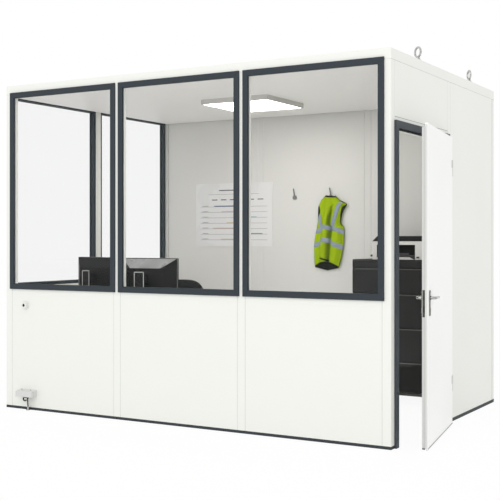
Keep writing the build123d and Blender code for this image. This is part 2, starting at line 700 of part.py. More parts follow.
printer_width, printer_depth, printer_height = PRINTER
printer_left = cabinet_x[0] + PRINTER_INSET
printer_x = (printer_left, printer_left + printer_width)
printer_front = cabinet_front + PRINTER_FRONT_GAP
printer_y = (printer_front, printer_front + printer_depth)
lid_low = cabinet_height + printer_height - PRINTER_LID
printer = block(printer_x, printer_y, (cabinet_height, lid_low))
printer = fillet(upright_edges(printer), PRINTER_ROUND)
slot_width, slot_depth, slot_height = PRINTER_SLOT
slot_x = (printer_left + PRINTER_SLOT_LEFT, printer_left + PRINTER_SLOT_LEFT + slot_width)
slot_low = cabinet_height + PRINTER_SLOT_LEVEL
slot_y = (printer_front - OVERRUN, printer_front + slot_depth)
slot = block(slot_x, slot_y, (slot_low, slot_low + slot_height))
nodes["printer_body"] = printer - slot
lid_outline = Polyline(
    (printer_x[0], lid_low),
    (printer_x[1], lid_low),
    (printer_x[1], cabinet_height + printer_height),
    (printer_x[0] + PRINTER_LID_SLOPE, cabinet_height + printer_height),
    close=True,
)
lid_plane = Plane(origin=(0, printer_y[1], 0), x_dir=(1, 0, 0), z_dir=frontward)
nodes["printer_lid"] = extrude(lid_plane * make_face(lid_outline), amount=printer_depth)

# Cable bush and power inlet on the front wall
bush_x = LEFT_FACE + BUSH_INSET
bush_z = SILL - BUSH_DROP
flange_radius, flange_thick = BUSH_FLANGE


def bar_y(radius, x, y, z):
    """Round bar along Y between two places."""
    low, high = sorted(y)
    return Pos(x, (low + high) / 2, z) * Rot(90, 0, 0) * Cylinder(radius, high - low)


bush_mouth = FRONT_FACE - BUSH_LENGTH
bush = bar_y(BUSH_RADIUS, bush_x, (bush_mouth, FRONT_FACE), bush_z)
bush = fillet(bush.faces().sort_by(Axis.Y)[0].edges(), BUSH_ROUND)
bush += bar_y(flange_radius, bush_x, (FRONT_FACE - flange_thick, FRONT_FACE), bush_z)
bush_hole = (bush_mouth - OVERRUN, bush_mouth + BUSH_HOLE_DEPTH)
nodes["cable_bush"] = bush - bar_y(BUSH_HOLE_RADIUS, bush_x, bush_hole, bush_z)

inlet_width, inlet_depth, inlet_height = INLET_BOX
inlet_front = FRONT_FACE - inlet_depth
inlet_top = INLET_LEVEL + inlet_height
inlet_side = Polyline(
    (FRONT_FACE, INLET_LEVEL),
    (inlet_front, INLET_LEVEL),
    (inlet_front, inlet_top - INLET_SLOPE),
    (FRONT_FACE, inlet_top),
    close=True,
)
inlet = extrude(Plane.YZ * make_face(inlet_side), amount=inlet_width)
inlet_left = LEFT_FACE + INLET_INSET
inlet = Pos(inlet_left, 0, 0) * inlet
nodes["inlet_box"] = fillet(inlet.faces().sort_by(Axis.Y)[0].edges(), INLET_ROUND)

cable_x = inlet_left + GLAND_INSET
cable_y = FRONT_FACE - CABLE_OUT
clip_width, clip_height = CLIP
clip_top = CLIP_LEVEL + clip_height
gland_foot = INLET_LEVEL - GLAND_LENGTH


def bar_z(radius, z):
    """Round bar on the cable's line between two levels."""
    return Pos(cable_x, cable_y, (z[0] + z[1]) / 2) * Cylinder(radius, z[1] - z[0])


gland = bar_z(GLAND_RADIUS, (gland_foot, INLET_LEVEL))
nodes["inlet_cable"] = gland + bar_z(CABLE_RADIUS, (clip_top, gland_foot))
clip_x = (cable_x - clip_width / 2, cable_x + clip_width / 2)
clip = block(clip_x, (cable_y - clip_width / 2, FRONT_FACE), (CLIP_LEVEL, clip_top))
nodes["cable_clip"] = fillet(upright_edges(clip), CLIP_ROUND)

os.makedirs("parts", exist_ok=True)
for name, shape in nodes.items():
    export_step(shape, f"parts/{name}.step")
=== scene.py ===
import math

import bmesh
import bpy
import numpy as np
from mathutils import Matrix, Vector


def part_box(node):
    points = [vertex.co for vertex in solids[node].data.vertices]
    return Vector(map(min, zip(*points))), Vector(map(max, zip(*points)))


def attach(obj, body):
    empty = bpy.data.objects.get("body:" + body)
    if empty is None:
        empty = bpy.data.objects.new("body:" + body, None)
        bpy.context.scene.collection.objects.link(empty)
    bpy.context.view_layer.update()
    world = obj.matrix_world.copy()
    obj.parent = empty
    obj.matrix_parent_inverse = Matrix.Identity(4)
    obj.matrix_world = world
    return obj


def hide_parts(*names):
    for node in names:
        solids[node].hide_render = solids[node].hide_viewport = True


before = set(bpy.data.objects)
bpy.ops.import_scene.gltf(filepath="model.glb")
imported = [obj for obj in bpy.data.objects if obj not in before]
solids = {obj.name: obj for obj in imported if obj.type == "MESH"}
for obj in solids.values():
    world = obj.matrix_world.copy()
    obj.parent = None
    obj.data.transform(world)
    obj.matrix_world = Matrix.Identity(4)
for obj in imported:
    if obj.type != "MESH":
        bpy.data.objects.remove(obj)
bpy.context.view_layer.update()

# Studio: a white floor under an even white sky. A wide lamp lifts the front wall a little, and a soft lamp
# low in the room lifts the ceiling. The eye stands 1.3 m above the floor, off the front right corner.
EYE = (3.9985, -5.873, 1.3025)
EYE_TURN = math.radians(30.236)
IMAGE_PIXELS = 500
FOCAL_PIXELS = 1009
HORIZON_PIXELS = 10
SENSOR = 36
camera = bpy.data.objects.new("viewpoint", bpy.data.cameras.new("viewpoint"))
camera.location = EYE
camera.rotation_euler = (math.pi / 2, 0, EYE_TURN)
camera.data.sensor_width = SENSOR
camera.data.lens = FOCAL_PIXELS / IMAGE_PIXELS * SENSOR
camera.data.shift_y = -HORIZON_PIXELS / IMAGE_PIXELS
bpy.context.scene.collection.objects.link(camera)
bpy.context.scene.camera = camera
bpy.context.scene.view_settings.view_transform = "Standard"

sky = bpy.data.worlds.new("white_sky")
sky.use_nodes = True
sky.node_tree.nodes["Background"].inputs["Color"].default_value = (1, 1, 1, 1)
sky.node_tree.nodes["Background"].inputs["Strength"].default_value = 1.0
bpy.context.scene.world = sky

lamps = [("front_lamp", 140, 5.0, (2.0, -8.5, 5.5), (62, 0, 13)),
         ("room_lamp", 8, 1.5, (0.35, 0.95, 0.30), (180, 0, 0))]
for lamp_name, watts, lamp_size, lamp_place, lamp_turn in lamps:
    lamp = bpy.data.objects.new(lamp_name, bpy.data.lights.new(lamp_name, "AREA"))
    lamp.data.energy = watts
    lamp.data.size = lamp_size
    lamp.location = lamp_place
    lamp.rotation_euler = np.radians(lamp_turn)
    lamp.visible_camera = False
    bpy.context.scene.collection.objects.link(lamp)

FLOOR_HALF = 40
FLOOR_LEVEL = -0.001
FLOOR_SHADOW_SHARE = 0.08
floor_mesh = bpy.data.meshes.new("studio_floor")
floor_square = np.array([(-1, -1, 0), (1, -1, 0), (1, 1, 0), (-1, 1, 0)]) * FLOOR_HALF + (0, 0, FLOOR_LEVEL)
floor_mesh.from_pydata(floor_square.tolist(), [], [(0, 1, 2, 3)])
floor = bpy.data.objects.new("studio_floor", floor_mesh)
bpy.context.scene.collection.objects.link(floor)


def fed(tree, node, values):
    """Fills a node's inputs, each with a node's output, a number or a colour, and gives the node back."""
    for key, value in values.items():
        if isinstance(value, bpy.types.NodeSocket):
            tree.links.new(value, node.inputs[key])
        else:
            node.inputs[key].default_value = value
    return node


def sums(tree, operation, first, second):
    """One sum on two values, worked out at every point of a surface."""
    node = tree.nodes.new("ShaderNodeMath")
    node.operation = operation
    return fed(tree, node, {0: first, 1: second}).outputs[0]


floor_white = bpy.data.materials.new("floor_white")
floor_white.use_nodes = True
floor_tree = floor_white.node_tree
floor_tree.nodes.remove(floor_tree.nodes["Principled BSDF"])
floor_paint = fed(floor_tree, floor_tree.nodes.new("ShaderNodeBsdfDiffuse"), {"Color": (0.92, 0.92, 0.92, 1)})
floor_glow = floor_tree.nodes.new("ShaderNodeEmission")
floor_rays = floor_tree.nodes.new("ShaderNodeLightPath").outputs
floor_seen = sums(floor_tree, "MAXIMUM", floor_rays["Is Camera Ray"], floor_rays["Is Glossy Ray"])
floor_through = sums(floor_tree, "MAXIMUM", floor_seen, floor_rays["Is Transmission Ray"])
floor_share = sums(floor_tree, "MULTIPLY", floor_through, 1 - FLOOR_SHADOW_SHARE)
floor_mix = fed(floor_tree, floor_tree.nodes.new("ShaderNodeMixShader"),
                {"Fac": floor_share, 1: floor_paint.outputs[0], 2: floor_glow.outputs[0]})
fed(floor_tree, floor_tree.nodes["Material Output"], {"Surface": floor_mix.outputs[0]})
floor_mesh.materials.append(floor_white)


# Shell: posts, foam-filled wall panels, roof and eaves beam, all steel sheet with a white baked coat.
# The panels slide between the posts and every joint shows as a narrow V. The rear wall's room side is grey, a
# painted shade.
def blended(tree, share, first, second):
    """Colour between a first and a second one, by a share at every point."""
    node = tree.nodes.new("ShaderNodeMix")
    node.data_type = "RGBA"
    return fed(tree, node, {0: share, 6: first, 7: second}).outputs[2]


def lifted(tree, height, strength, distance):
    """Surface tilt of a height map, lifted by distance in metres."""
    return fed(tree, tree.nodes.new("ShaderNodeBump"),
               {"Height": height, "Strength": strength, "Distance": distance})


def dulled(material, level):
    """The same finish with another level of mirror shine, 0.5 being the plain one."""
    material.node_tree.nodes["Principled BSDF"].inputs["Specular IOR Level"].default_value = level
    return material


def coat(name, colour, shade, rough, grain, bump, cloud=1.3, metal=0.0, stretch=(1, 1, 1), spread=0.06):
    """Coated or moulded surface. A slow noise of cloud marks a metre blends the colour into its shade and
    shifts the roughness by spread. A fine noise of grain marks a metre, pulled out by stretch, lifts the
    surface by bump metres."""
    material = bpy.data.materials.new(name)
    material.use_nodes = True
    tree = material.node_tree
    place = tree.nodes.new("ShaderNodeTexCoord").outputs["Object"]
    slow = fed(tree, tree.nodes.new("ShaderNodeTexNoise"), {"Vector": place, "Scale": cloud, "Detail": 5})
    gloss = fed(tree, tree.nodes.new("ShaderNodeMapRange"),
                {"Value": slow.outputs["Fac"], "From Min": 0.3, "From Max": 0.7, "To Min": rough - spread,
                 "To Max": rough + spread})
    pull = fed(tree, tree.nodes.new("ShaderNodeMapping"), {"Vector": place, "Scale": stretch})
    fine = fed(tree, tree.nodes.new("ShaderNodeTexNoise"),
               {"Vector": pull.outputs["Vector"], "Scale": grain, "Detail": 2})
    fed(tree, tree.nodes["Principled BSDF"],
        {"Base Color": blended(tree, slow.outputs["Fac"], (*colour, 1), (*shade, 1)), "Metallic": metal,
         "Roughness": gloss.outputs["Result"],
         "Normal": lifted(tree, fine.outputs["Fac"], 0.7, bump).outputs["Normal"]})
    return material


def dress(material, *names):
    """Gives CAD nodes their finish."""
    for name in names:
        for place in solids[name].material_slots:
            place.material = material


def lined(material, lining, axis, start, end):
    """The same coat with another colour on the side that faces the room. The place along an axis picks the
    colour: the lining's at start, the coat's own at end, and a blend between."""
    tree = material.node_tree
    shader = tree.nodes["Principled BSDF"]
    own = shader.inputs["Base Color"].links[0].from_socket
    place = tree.nodes.new("ShaderNodeTexCoord").outputs["Object"]
    split = fed(tree, tree.nodes.new("ShaderNodeSeparateXYZ"), {0: place})
    depth = fed(tree, tree.nodes.new("ShaderNodeMapRange"),
                {"Value": split.outputs[axis], "From Min": start, "From Max": end})
    fed(tree, shader, {"Base Color": blended(tree, depth.outputs["Result"], (*lining, 1), own)})
    return material


WHITE, WHITE_SHADE = (0.85, 0.857, 0.812), (0.83, 0.838, 0.792)
LINING, ROOM_SIDE_PAINTED_SHADE = 2.085, (0.70, 0.694, 0.668)
white_coat = coat("white_baked_coat", WHITE, WHITE_SHADE, 0.46, 420, 0.00006)
# Painted shade: the rear panels' room side blends to grey, for the dimmer light inside the room.
rear_coat_painted_shade = lined(coat("white_coat_painted_shade_inside", WHITE, WHITE_SHADE, 0.46, 420, 0.00006), ROOM_SIDE_PAINTED_SHADE, "Y",
                  LINING + 0.002, LINING + 0.010)
roof_coat = coat("white_roof_sheet", (0.90, 0.886, 0.86), (0.87, 0.856, 0.83), 0.5, 420, 0.00006)
dress(white_coat, "front_posts", "side_posts", "front_panels", "left_panels")
dress(white_coat, "right_panel", "door_lintel", "door_transom_panel", "roof_edge_beam")
dress(rear_coat_painted_shade, "rear_posts", "rear_panels")
dress(roof_coat, "roof_panel")


# Joint seals: pale rubber strips pressed into the V of every panel joint, and grey ones under the eaves beam.
# A pale skirting strip runs along the foot of the rear wall, and two flat cover strips lie on the roof.
def repeated(faces, points_each, count):
    """The faces of one copy, numbered on for each further copy."""
    return [tuple(i + points_each * c for i in face) for c in range(count) for face in faces]


def joined(*shapes):
    """Several shapes' points and faces as one shape."""
    starts = np.cumsum([0] + [len(points) for points, faces in shapes])
    points = np.concatenate([points for points, faces in shapes])
    faces = [tuple(i + int(start) for i in face) for start, shape in zip(starts, shapes) for face in shape[1]]
    return points, faces


def strips(starts, ends, facing, width, depth):
    """Straight strips. A six-cornered section, flat at its back and with its two outer corners cut by a
    quarter of its thinner side, is carried from each start to its end; facing is the way its depth points."""
    starts, ends = np.atleast_2d(starts).astype(float), np.atleast_2d(ends).astype(float)
    along = ends - starts
    along /= np.linalg.norm(along, axis=1, keepdims=True)
    facing = np.broadcast_to(np.asarray(facing, float), starts.shape)
    across = np.cross(facing, along)
    half, cut = width / 2, min(width, depth) / 4
    section = np.array([(-half, 0), (half, 0), (half, depth - cut), (half - cut, depth),
                        (cut - half, depth), (-half, depth - cut)])
    offset = section[None, :, :1] * across[:, None] + section[None, :, 1:] * facing[:, None]
    points = np.stack([starts[:, None] + offset, ends[:, None] + offset], axis=1)
    k = len(section)
    sides = [(i, (i + 1) % k, k + (i + 1) % k, k + i) for i in range(k)]
    caps = [tuple(range(k))[::-1], tuple(range(k, 2 * k))]
    return points.reshape(-1, 3), repeated(sides + caps, 2 * k, len(starts))


def piece(name, shape, materials, body="cabin", closed=True, sharp=35, picks=None):
    """Object made of a shape's points and faces, turned outwards where it is closed, that rides on a body."""
    points, faces = shape
    mesh = bpy.data.meshes.new(name)
    mesh.from_pydata(np.asarray(points, float).reshape(-1, 3).tolist(), [], faces)
    for material in materials if isinstance(materials, (list, tuple)) else [materials]:
        mesh.materials.append(material)
    if picks is not None:
        mesh.polygons.foreach_set("material_index", np.asarray(picks, np.int32))
    if closed:
        work = bmesh.new()
        work.from_mesh(mesh)
        bmesh.ops.recalc_face_normals(work, faces=work.faces[:])
        work.to_mesh(mesh)
        work.free()
    mesh.shade_smooth()
    mesh.set_sharp_from_angle(angle=math.radians(sharp))
    made = bpy.data.objects.new(name, mesh)
    bpy.context.scene.collection.objects.link(made)
    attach(made, body)
    return made


LEFT, RIGHT, FRONT, BACK = -1.605, 1.605, -0.030, 2.130
ROOF, EAVES, SILL, RAIL = 2.500, 2.428, 0.938, 0.020
BAY, POST, WALL = 0.990, 0.060, 0.045
SEAL_WIDTH, SEAL_DEPTH, SEAL_SINK = 0.0036, 0.0016, 0.0021
SEAL_TOP = SILL - 0.016
front_joints = [LEFT + POST + i * (BAY + POST) + e for i in range(3) for e in (0, BAY)]
side_joints = [FRONT + POST + i * (BAY + POST) + e for i in range(2) for e in (0, BAY)]


def upright_seals(wall, places, low, high):
    """Seals on one wall: strips that stand in the joints, sunk below the wall's outer face."""
    flat = {"front": (1, FRONT + SEAL_SINK, (0, -1, 0)), "rear": (1, BACK - SEAL_SINK, (0, 1, 0)),
            "left": (0, LEFT + SEAL_SINK, (-1, 0, 0)), "right": (0, RIGHT - SEAL_SINK, (1, 0, 0))}
    axis, level, facing = flat[wall]
    feet = np.zeros((len(places), 3))
    feet[:, 1 - axis], feet[:, axis], feet[:, 2] = places, level, low
    tops = feet + (0, 0, high - low)
    return strips(feet, tops, facing, SEAL_WIDTH, SEAL_DEPTH)


EAVES_LINE = 0.0018
TRANSOM = 2.076
eaves_corners = np.array([(LEFT, FRONT, EAVES), (RIGHT, FRONT, EAVES), (RIGHT, BACK, EAVES),
                          (LEFT, BACK, EAVES)])
eaves_facing = np.array([(0, -1, 0), (1, 0, 0), (0, 1, 0), (-1, 0, 0)], float)
eaves_back = -0.0012 * eaves_facing
seal_shapes = [
    upright_seals("front", front_joints, RAIL, SEAL_TOP),
    upright_seals("rear", front_joints, RAIL, EAVES),
    upright_seals("left", side_joints, RAIL, SEAL_TOP),
    upright_seals("right", side_joints[2:], RAIL, EAVES),
    upright_seals("right", side_joints[:2], TRANSOM + 0.0005, EAVES),
]
eaves_starts, eaves_ends = eaves_corners + eaves_back, np.roll(eaves_corners, -1, 0) + eaves_back
eaves_seal = strips(eaves_starts[1:], eaves_ends[1:], eaves_facing[1:], EAVES_LINE * 2, 0.0011)
transom_x = RIGHT - 0.0009
transom_line = np.array([(transom_x, FRONT + POST, TRANSOM), (transom_x, FRONT + POST + BAY, TRANSOM)])
transom_seal = strips(transom_line[:1], transom_line[1:], (1, 0, 0), EAVES_LINE * 2, 0.0013)
pale_seal = coat("pale_joint_rubber", (0.66, 0.665, 0.64), (0.58, 0.585, 0.565), 0.7, 900, 0.0001, 9)
piece("joint_seals", joined(*seal_shapes), pale_seal)
grey_seal = coat("grey_eaves_rubber", (0.40, 0.41, 0.40), (0.32, 0.33, 0.32), 0.7, 900, 0.0001, 9)
piece("eaves_seals", joined(eaves_seal, transom_seal), grey_seal)

skirting_coat = coat("pale_skirting", (0.60, 0.60, 0.58), (0.55, 0.55, 0.53), 0.5, 700, 0.00005)
SKIRTING_HEIGHT, SKIRTING_RISE, SKIRTING_MIDDLE = 0.0200, 0.002, 0.0108
skirting_start = (LEFT + POST + 0.002, BACK - POST, SKIRTING_MIDDLE)
skirting_end = (RIGHT - POST - 0.002, BACK - POST, SKIRTING_MIDDLE)
skirting = strips(skirting_start, skirting_end, (0, -1, 0), SKIRTING_HEIGHT, SKIRTING_RISE)
piece("rear_skirting", skirting, skirting_coat)

STRIP_WIDTH, STRIP_RISE = 0.045, 0.003
strip_x = np.array([LEFT + POST + BAY + POST / 2, LEFT + POST + 2 * BAY + 3 * POST / 2])
strip_feet = np.column_stack([strip_x, np.full(2, FRONT + POST + 0.004), np.full(2, ROOF - 0.004)])
strip_ends = strip_feet + (0, BACK - FRONT - 2 * POST - 0.008, 0)
cover_strips = strips(strip_feet, strip_ends, (0, 0, 1), STRIP_WIDTH, STRIP_RISE)
piece("roof_cover_strips", cover_strips, white_coat)

# Base rails: folded steel channels that the wall panels stand in, with a dark powder coat.
# They lie flat on the ground and stop at the door frame. A bead of dark sealant tops the right one.
rail_coat = coat("dark_rail_coat", (0.028, 0.034, 0.039), (0.040, 0.047, 0.052), 0.6, 700, 0.00012, 2.5)
dulled(rail_coat, 0.3)
dress(rail_coat, "base_rail_front", "base_rail_rear", "base_rail_left", "base_rail_right")
SEALANT_HEIGHT, SEALANT_RISE, SEALANT_LEVEL = 0.0064, 0.0008, RAIL + 0.0022
sealant_start = (RIGHT - 0.0003, 1.030, SEALANT_LEVEL)
sealant_end = (RIGHT - 0.0003, BACK - 0.001, SEALANT_LEVEL)
rail_bead = strips(sealant_start, sealant_end, (1, 0, 0), SEALANT_HEIGHT, SEALANT_RISE)
piece("rail_sealant", rail_bead, rail_coat)

# Windows: aluminium frames with mitred corners and a fine dark powder coat, screwed over the openings.
# A bead outside and inside holds each pane of float glass, and behind the front panes the frames are white.
ANTHRACITE, ANTHRACITE_SHADE = (0.026, 0.036, 0.045), (0.032, 0.042, 0.051)
frame_coat = coat("anthracite_powder_coat", ANTHRACITE, ANTHRACITE_SHADE, 0.55, 1500, 0.00009, 3)
two_tone_coat = coat("anthracite_white_inside", ANTHRACITE, ANTHRACITE_SHADE, 0.55, 1500, 0.00009, 3)
lined(two_tone_coat, WHITE, "Y", FRONT + 0.008, FRONT + 0.004)
dress(dulled(two_tone_coat, 0.3), "front_window_frames")
dress(dulled(frame_coat, 0.3), "left_window_frames")
float_glass = coat("float_glass", (0.12, 0.14, 0.135), (0.15, 0.17, 0.165), 0.03, 3, 0.00001, 2, spread=0.02)
float_glass.node_tree.nodes["Principled BSDF"].inputs["Alpha"].default_value = 0.03
dress(float_glass, "front_glass", "left_glass")


def mitred(centre, right, up, out, half_width, half_height, profile):
    """Ring round a rectangle. Each (inset, rise) pair of the closed profile is measured in from the
    rectangle's edge and out from its plane, and the four corners are where the insets of two sides meet."""
    centre, right, up, out = (np.asarray(v, float) for v in (centre, right, up, out))
    profile = np.asarray(profile, float)
    inset, rise = profile[:, 0], profile[:, 1]
    signs = np.array([(-1, -1), (1, -1), (1, 1), (-1, 1)])
    across = signs[:, :1] * (half_width - inset)
    along = signs[:, 1:] * (half_height - inset)
    points = centre + across[..., None] * right + along[..., None] * up + rise[None, :, None] * out
    k = len(profile)
    faces = [(c * k + i, (c + 1) % 4 * k + i, (c + 1) % 4 * k + (i + 1) % k, c * k + (i + 1) % k)
             for c in range(4) for i in range(k)]
    return points.reshape(-1, 3), faces


OPEN_INSET = 0.025
GLASS_OUTER, GLASS_INNER = 0.002, -0.006
BEAD = [(-0.0004, 0), (-0.0004, 0.0030), (0.0010, 0.0032), (0.0024, 0.0022), (0.0030, 0.0006), (0.0030, 0)]
open_low, open_high = SILL + OPEN_INSET, EAVES - OPEN_INSET
open_middle, open_half = (open_low + open_high) / 2, (open_high - open_low) / 2
pane_half = BAY / 2 - OPEN_INSET
front_panes = [(LEFT + POST + BAY / 2 + i * (BAY + POST), FRONT) for i in range(3)]
left_panes = [(LEFT, FRONT + POST + BAY / 2 + i * (BAY + POST)) for i in range(2)]
front_beads, left_beads = [], []
for x, y in front_panes:
    outer, inner = (x, y - GLASS_OUTER, open_middle), (x, y - GLASS_INNER, open_middle)
    front_beads.append(mitred(outer, (1, 0, 0), (0, 0, 1), (0, -1, 0), pane_half, open_half, BEAD))
    front_beads.append(mitred(inner, (1, 0, 0), (0, 0, 1), (0, 1, 0), pane_half, open_half, BEAD))
for x, y in left_panes:
    outer, inner = (x - GLASS_OUTER, y, open_middle), (x - GLASS_INNER, y, open_middle)
    left_beads.append(mitred(outer, (0, 1, 0), (0, 0, 1), (-1, 0, 0), pane_half, open_half, BEAD))
    left_beads.append(mitred(inner, (0, 1, 0), (0, 0, 1), (1, 0, 0), pane_half, open_half, BEAD))
piece("front_glazing_beads", joined(*front_beads), two_tone_coat)
piece("left_glazing_beads", joined(*left_beads), frame_coat)

FLANGE, MITRE_WIDTH, MITRE_RISE, MITRE_END = 0.040, 0.0012, 0.0004, 0.0006
FRAME_LAP, FRAME_PROUD = 0.015, 0.0118
mitre_shapes = []
for panes, right, out in ((front_panes, (1, 0, 0), (0, -1, 0)), (left_panes, (0, 1, 0), (-1, 0, 0))):
    right, up, out = np.array(right, float), np.array((0, 0, 1.0)), np.array(out, float)
    signs = np.array([(-1, -1), (1, -1), (1, 1), (-1, 1)])
    half_width, half_height = BAY / 2 + FRAME_LAP, (EAVES - SILL) / 2 + FRAME_LAP
    inward = -(signs[:, :1] * right + signs[:, 1:] * up)
    for x, y in panes:
        middle = np.array((x, y, (SILL + EAVES) / 2)) + out * (FRAME_PROUD - MITRE_RISE / 2)
        corner = middle + signs[:, :1] * right * half_width + signs[:, 1:] * up * half_height
        mitre_starts, mitre_ends = corner + inward * MITRE_END, corner + inward * (FLANGE - MITRE_END)
        mitre_shapes.append(strips(mitre_starts, mitre_ends, out, MITRE_WIDTH, MITRE_RISE))
mitre_dark = coat("mitre_line", (0.016, 0.02, 0.024), (0.024, 0.03, 0.035), 0.6, 800, 0.00005, 10)
piece("frame_mitres", joined(*mitre_shapes), mitre_dark)

# Door frame: two rebated aluminium jambs and a head with the same dark coat as the windows.
# A bulb of black rubber lies along the stop, where the leaf shuts against it. A white strip lines the head.
door_coat = coat("door_frame_coat", (0.042, 0.053, 0.064), (0.050, 0.061, 0.072), 0.55, 1500, 0.00009, 3)
dress(dulled(door_coat, 0.3), "door_jamb_front", "door_jamb_rear", "door_head")
STOP_FACE = RIGHT - 0.009
STOP_NEAR, STOP_FAR, STOP_TOP, BULB_FOOT = 0.073, 0.977, 2.002, 0.012
BULB_WIDTH, BULB_DEPTH = 0.008, 0.0034
stop_path = np.array([(STOP_FACE, STOP_NEAR, BULB_FOOT), (STOP_FACE, STOP_NEAR, STOP_TOP),
                      (STOP_FACE, STOP_FAR, STOP_TOP), (STOP_FACE, STOP_FAR, BULB_FOOT)])
black_rubber = coat("black_rubber", (0.018, 0.019, 0.020), (0.03, 0.031, 0.032), 0.62, 1200, 0.0001, 12)
stop_seal = strips(stop_path[:-1], stop_path[1:], (1, 0, 0), BULB_WIDTH, BULB_DEPTH)
piece("door_stop_seal", stop_seal, black_rubber)
LINER_WIDTH, LINER = 0.034, 0.0012
liner_middle, liner_level = RIGHT - WALL + LINER_WIDTH / 2 + 0.0005, STOP_TOP - 0.0062
liner_start = (liner_middle, STOP_NEAR - 0.004, liner_level)
liner_end = (liner_middle, STOP_FAR + 0.004, liner_level)
head_liner = strips(liner_start, liner_end, (0, 0, -1), LINER_WIDTH, LINER)
piece("door_head_liner", head_liner, white_coat)

# Door leaf: two coated steel skins folded round a foam core, with a lip that laps the frame.
# A rubber bulb runs round the back of that lip, pale grey strips on the leaf's edges paint the shade those
# edges get, and a brush and a black seal close the gap to the floor.
# Painted light: the leaf's white is lighter than the walls' white, for the light the leaf gets.
leaf_coat_painted_light = coat("door_white_painted_light", (0.945, 0.952, 0.932), (0.925, 0.932, 0.912), 0.36, 420, 0.00006)
dress(leaf_coat_painted_light, "door_leaf")
HINGE_X, HINGE_Y = 1.637, 1.016
AJAR = math.radians(10)


def swung(shape):
    """A shape drawn on the shut door, turned open with it about the hinge line."""
    points, faces = shape
    turn = np.array([(math.cos(AJAR), math.sin(AJAR), 0), (-math.sin(AJAR), math.cos(AJAR), 0), (0, 0, 1)])
    axis = np.array((HINGE_X, HINGE_Y, 0))
    return (np.asarray(points) - axis) @ turn + axis, faces


LIP_BACK, LIP_FACE, LIP_NEAR, LIP_FAR, LIP_TOP = RIGHT + 0.020, RIGHT + 0.038, 0.059, 0.990, 2.015
lip_path = np.array([(LIP_BACK, LIP_NEAR, BULB_FOOT), (LIP_BACK, LIP_NEAR, LIP_TOP),
                     (LIP_BACK, LIP_FAR, LIP_TOP), (LIP_BACK, LIP_FAR, BULB_FOOT)])
lip_seal = strips(lip_path[:-1], lip_path[1:], (-1, 0, 0), BULB_WIDTH, BULB_DEPTH)
pale_rubber = coat("pale_lip_rubber", (0.42, 0.42, 0.41), (0.36, 0.36, 0.35), 0.65, 900, 0.0001, 9)
piece("door_lip_seal", swung(lip_seal), pale_rubber, body="door")


def along_door(x, near, far, level, facing, width, depth):
    """Strip that lies along the shut door from its free edge to its hinged edge at one level."""
    return strips((x, near, level), (x, far, level), facing, width, depth)


BRUSH_X, BRUSH_LEVEL, BRUSH_WIDTH, BRUSH_DROP = RIGHT + 0.030, 0.0062, 0.008, 0.0042
brush = along_door(BRUSH_X, 0.050, 1.000, BRUSH_LEVEL, (0, 0, -1), BRUSH_WIDTH, BRUSH_DROP)
piece("door_foot_brush", swung(brush), grey_seal, body="door")
DROP_X, DROP_LEVEL, DROP_WIDTH, DROP_HEIGHT = RIGHT + 0.0085, 0.0090, 0.0236, 0.0080
drop_seal = along_door(DROP_X, 0.0716, 0.975, DROP_LEVEL, (0, 0, -1), DROP_WIDTH, DROP_HEIGHT)
piece("door_drop_seal", swung(drop_seal), black_rubber, body="door")
FOOT_X, FOOT_LEVEL, FOOT_STRIP, FOOT_STRIP_RISE = LIP_FACE - 0.0004, 0.0108, 0.008, 0.0015
foot_strip = along_door(FOOT_X, 0.048, 1.002, FOOT_LEVEL, (1, 0, 0), FOOT_STRIP, FOOT_STRIP_RISE)
piece("door_foot_strip", swung(foot_strip), pale_rubber, body="door")
# Painted shade: pale grey strips cover the body's and the lip's narrow edges, darker than the leaf's white
# face.
EDGE_X, EDGE_Y, EDGE_WIDTH, EDGE_RISE, EDGE_FOOT = RIGHT + 0.008, 0.0722, 0.0232, 0.0005, 0.0095
edge_feet = np.array([(EDGE_X, EDGE_Y, EDGE_FOOT), (EDGE_X, EDGE_Y, 0.9930)])
edge_tops = np.array([(EDGE_X, EDGE_Y, 0.8210), (EDGE_X, EDGE_Y, 2.0010)])
leaf_edge_painted_shade = strips(edge_feet, edge_tops, (0, -1, 0), EDGE_WIDTH, EDGE_RISE)
LIP_EDGE_X, LIP_EDGE_Y, LIP_EDGE_WIDTH = RIGHT + 0.0275, 0.0472, 0.0140
lip_foot, lip_top = (LIP_EDGE_X, LIP_EDGE_Y, EDGE_FOOT), (LIP_EDGE_X, LIP_EDGE_Y, 2.018)
lip_edge_painted_shade = strips(lip_foot, lip_top, (0, -1, 0), LIP_EDGE_WIDTH, EDGE_RISE)
edge_painted_shade = coat("edge_strip_painted_shade", (0.70, 0.705, 0.685), (0.66, 0.665, 0.645), 0.45, 700, 0.00005, 3)
piece("door_edge_painted_shade", swung(joined(leaf_edge_painted_shade, lip_edge_painted_shade)), edge_painted_shade, body="door")


# Lock furniture: satin steel plates, levers and forend, screwed through the leaf, with a profile cylinder.
# The levers turn in collars on the plates; the latch shows in the forend on the leaf's edge.
def turned(profile, places, axis, segments=24):
    """Turned pieces. Each (radius, height) pair of the profile is a ring round the axis at every place, and
    flat discs close the first and the last ring."""
    profile, places = np.asarray(profile, float), np.atleast_2d(places).astype(float)
    axis = np.asarray(axis, float) / np.linalg.norm(axis)
    side = np.cross(axis, (0, 0, 1) if abs(axis[2]) < 0.9 else (1, 0, 0))
    side /= np.linalg.norm(side)
    angle = np.linspace(0, 2 * math.pi, segments, endpoint=False)
    spoke = np.cos(angle)[:, None] * side + np.sin(angle)[:, None] * np.cross(axis, side)
    rings = profile[:, :1, None] * spoke[None] + profile[:, 1:, None] * axis
    points = places[:, None, None] + rings[None]
    k, s = len(profile), segments
    walls = [(a * s + b, a * s + (b + 1) % s, (a + 1) * s + (b + 1) % s, (a + 1) * s + b)
             for a in range(k - 1) for b in range(s)]
    caps = [tuple(range(s))[::-1], tuple(range((k - 1) * s, k * s))]
    return points.reshape(-1, 3), repeated(walls + caps, k * s, len(places))
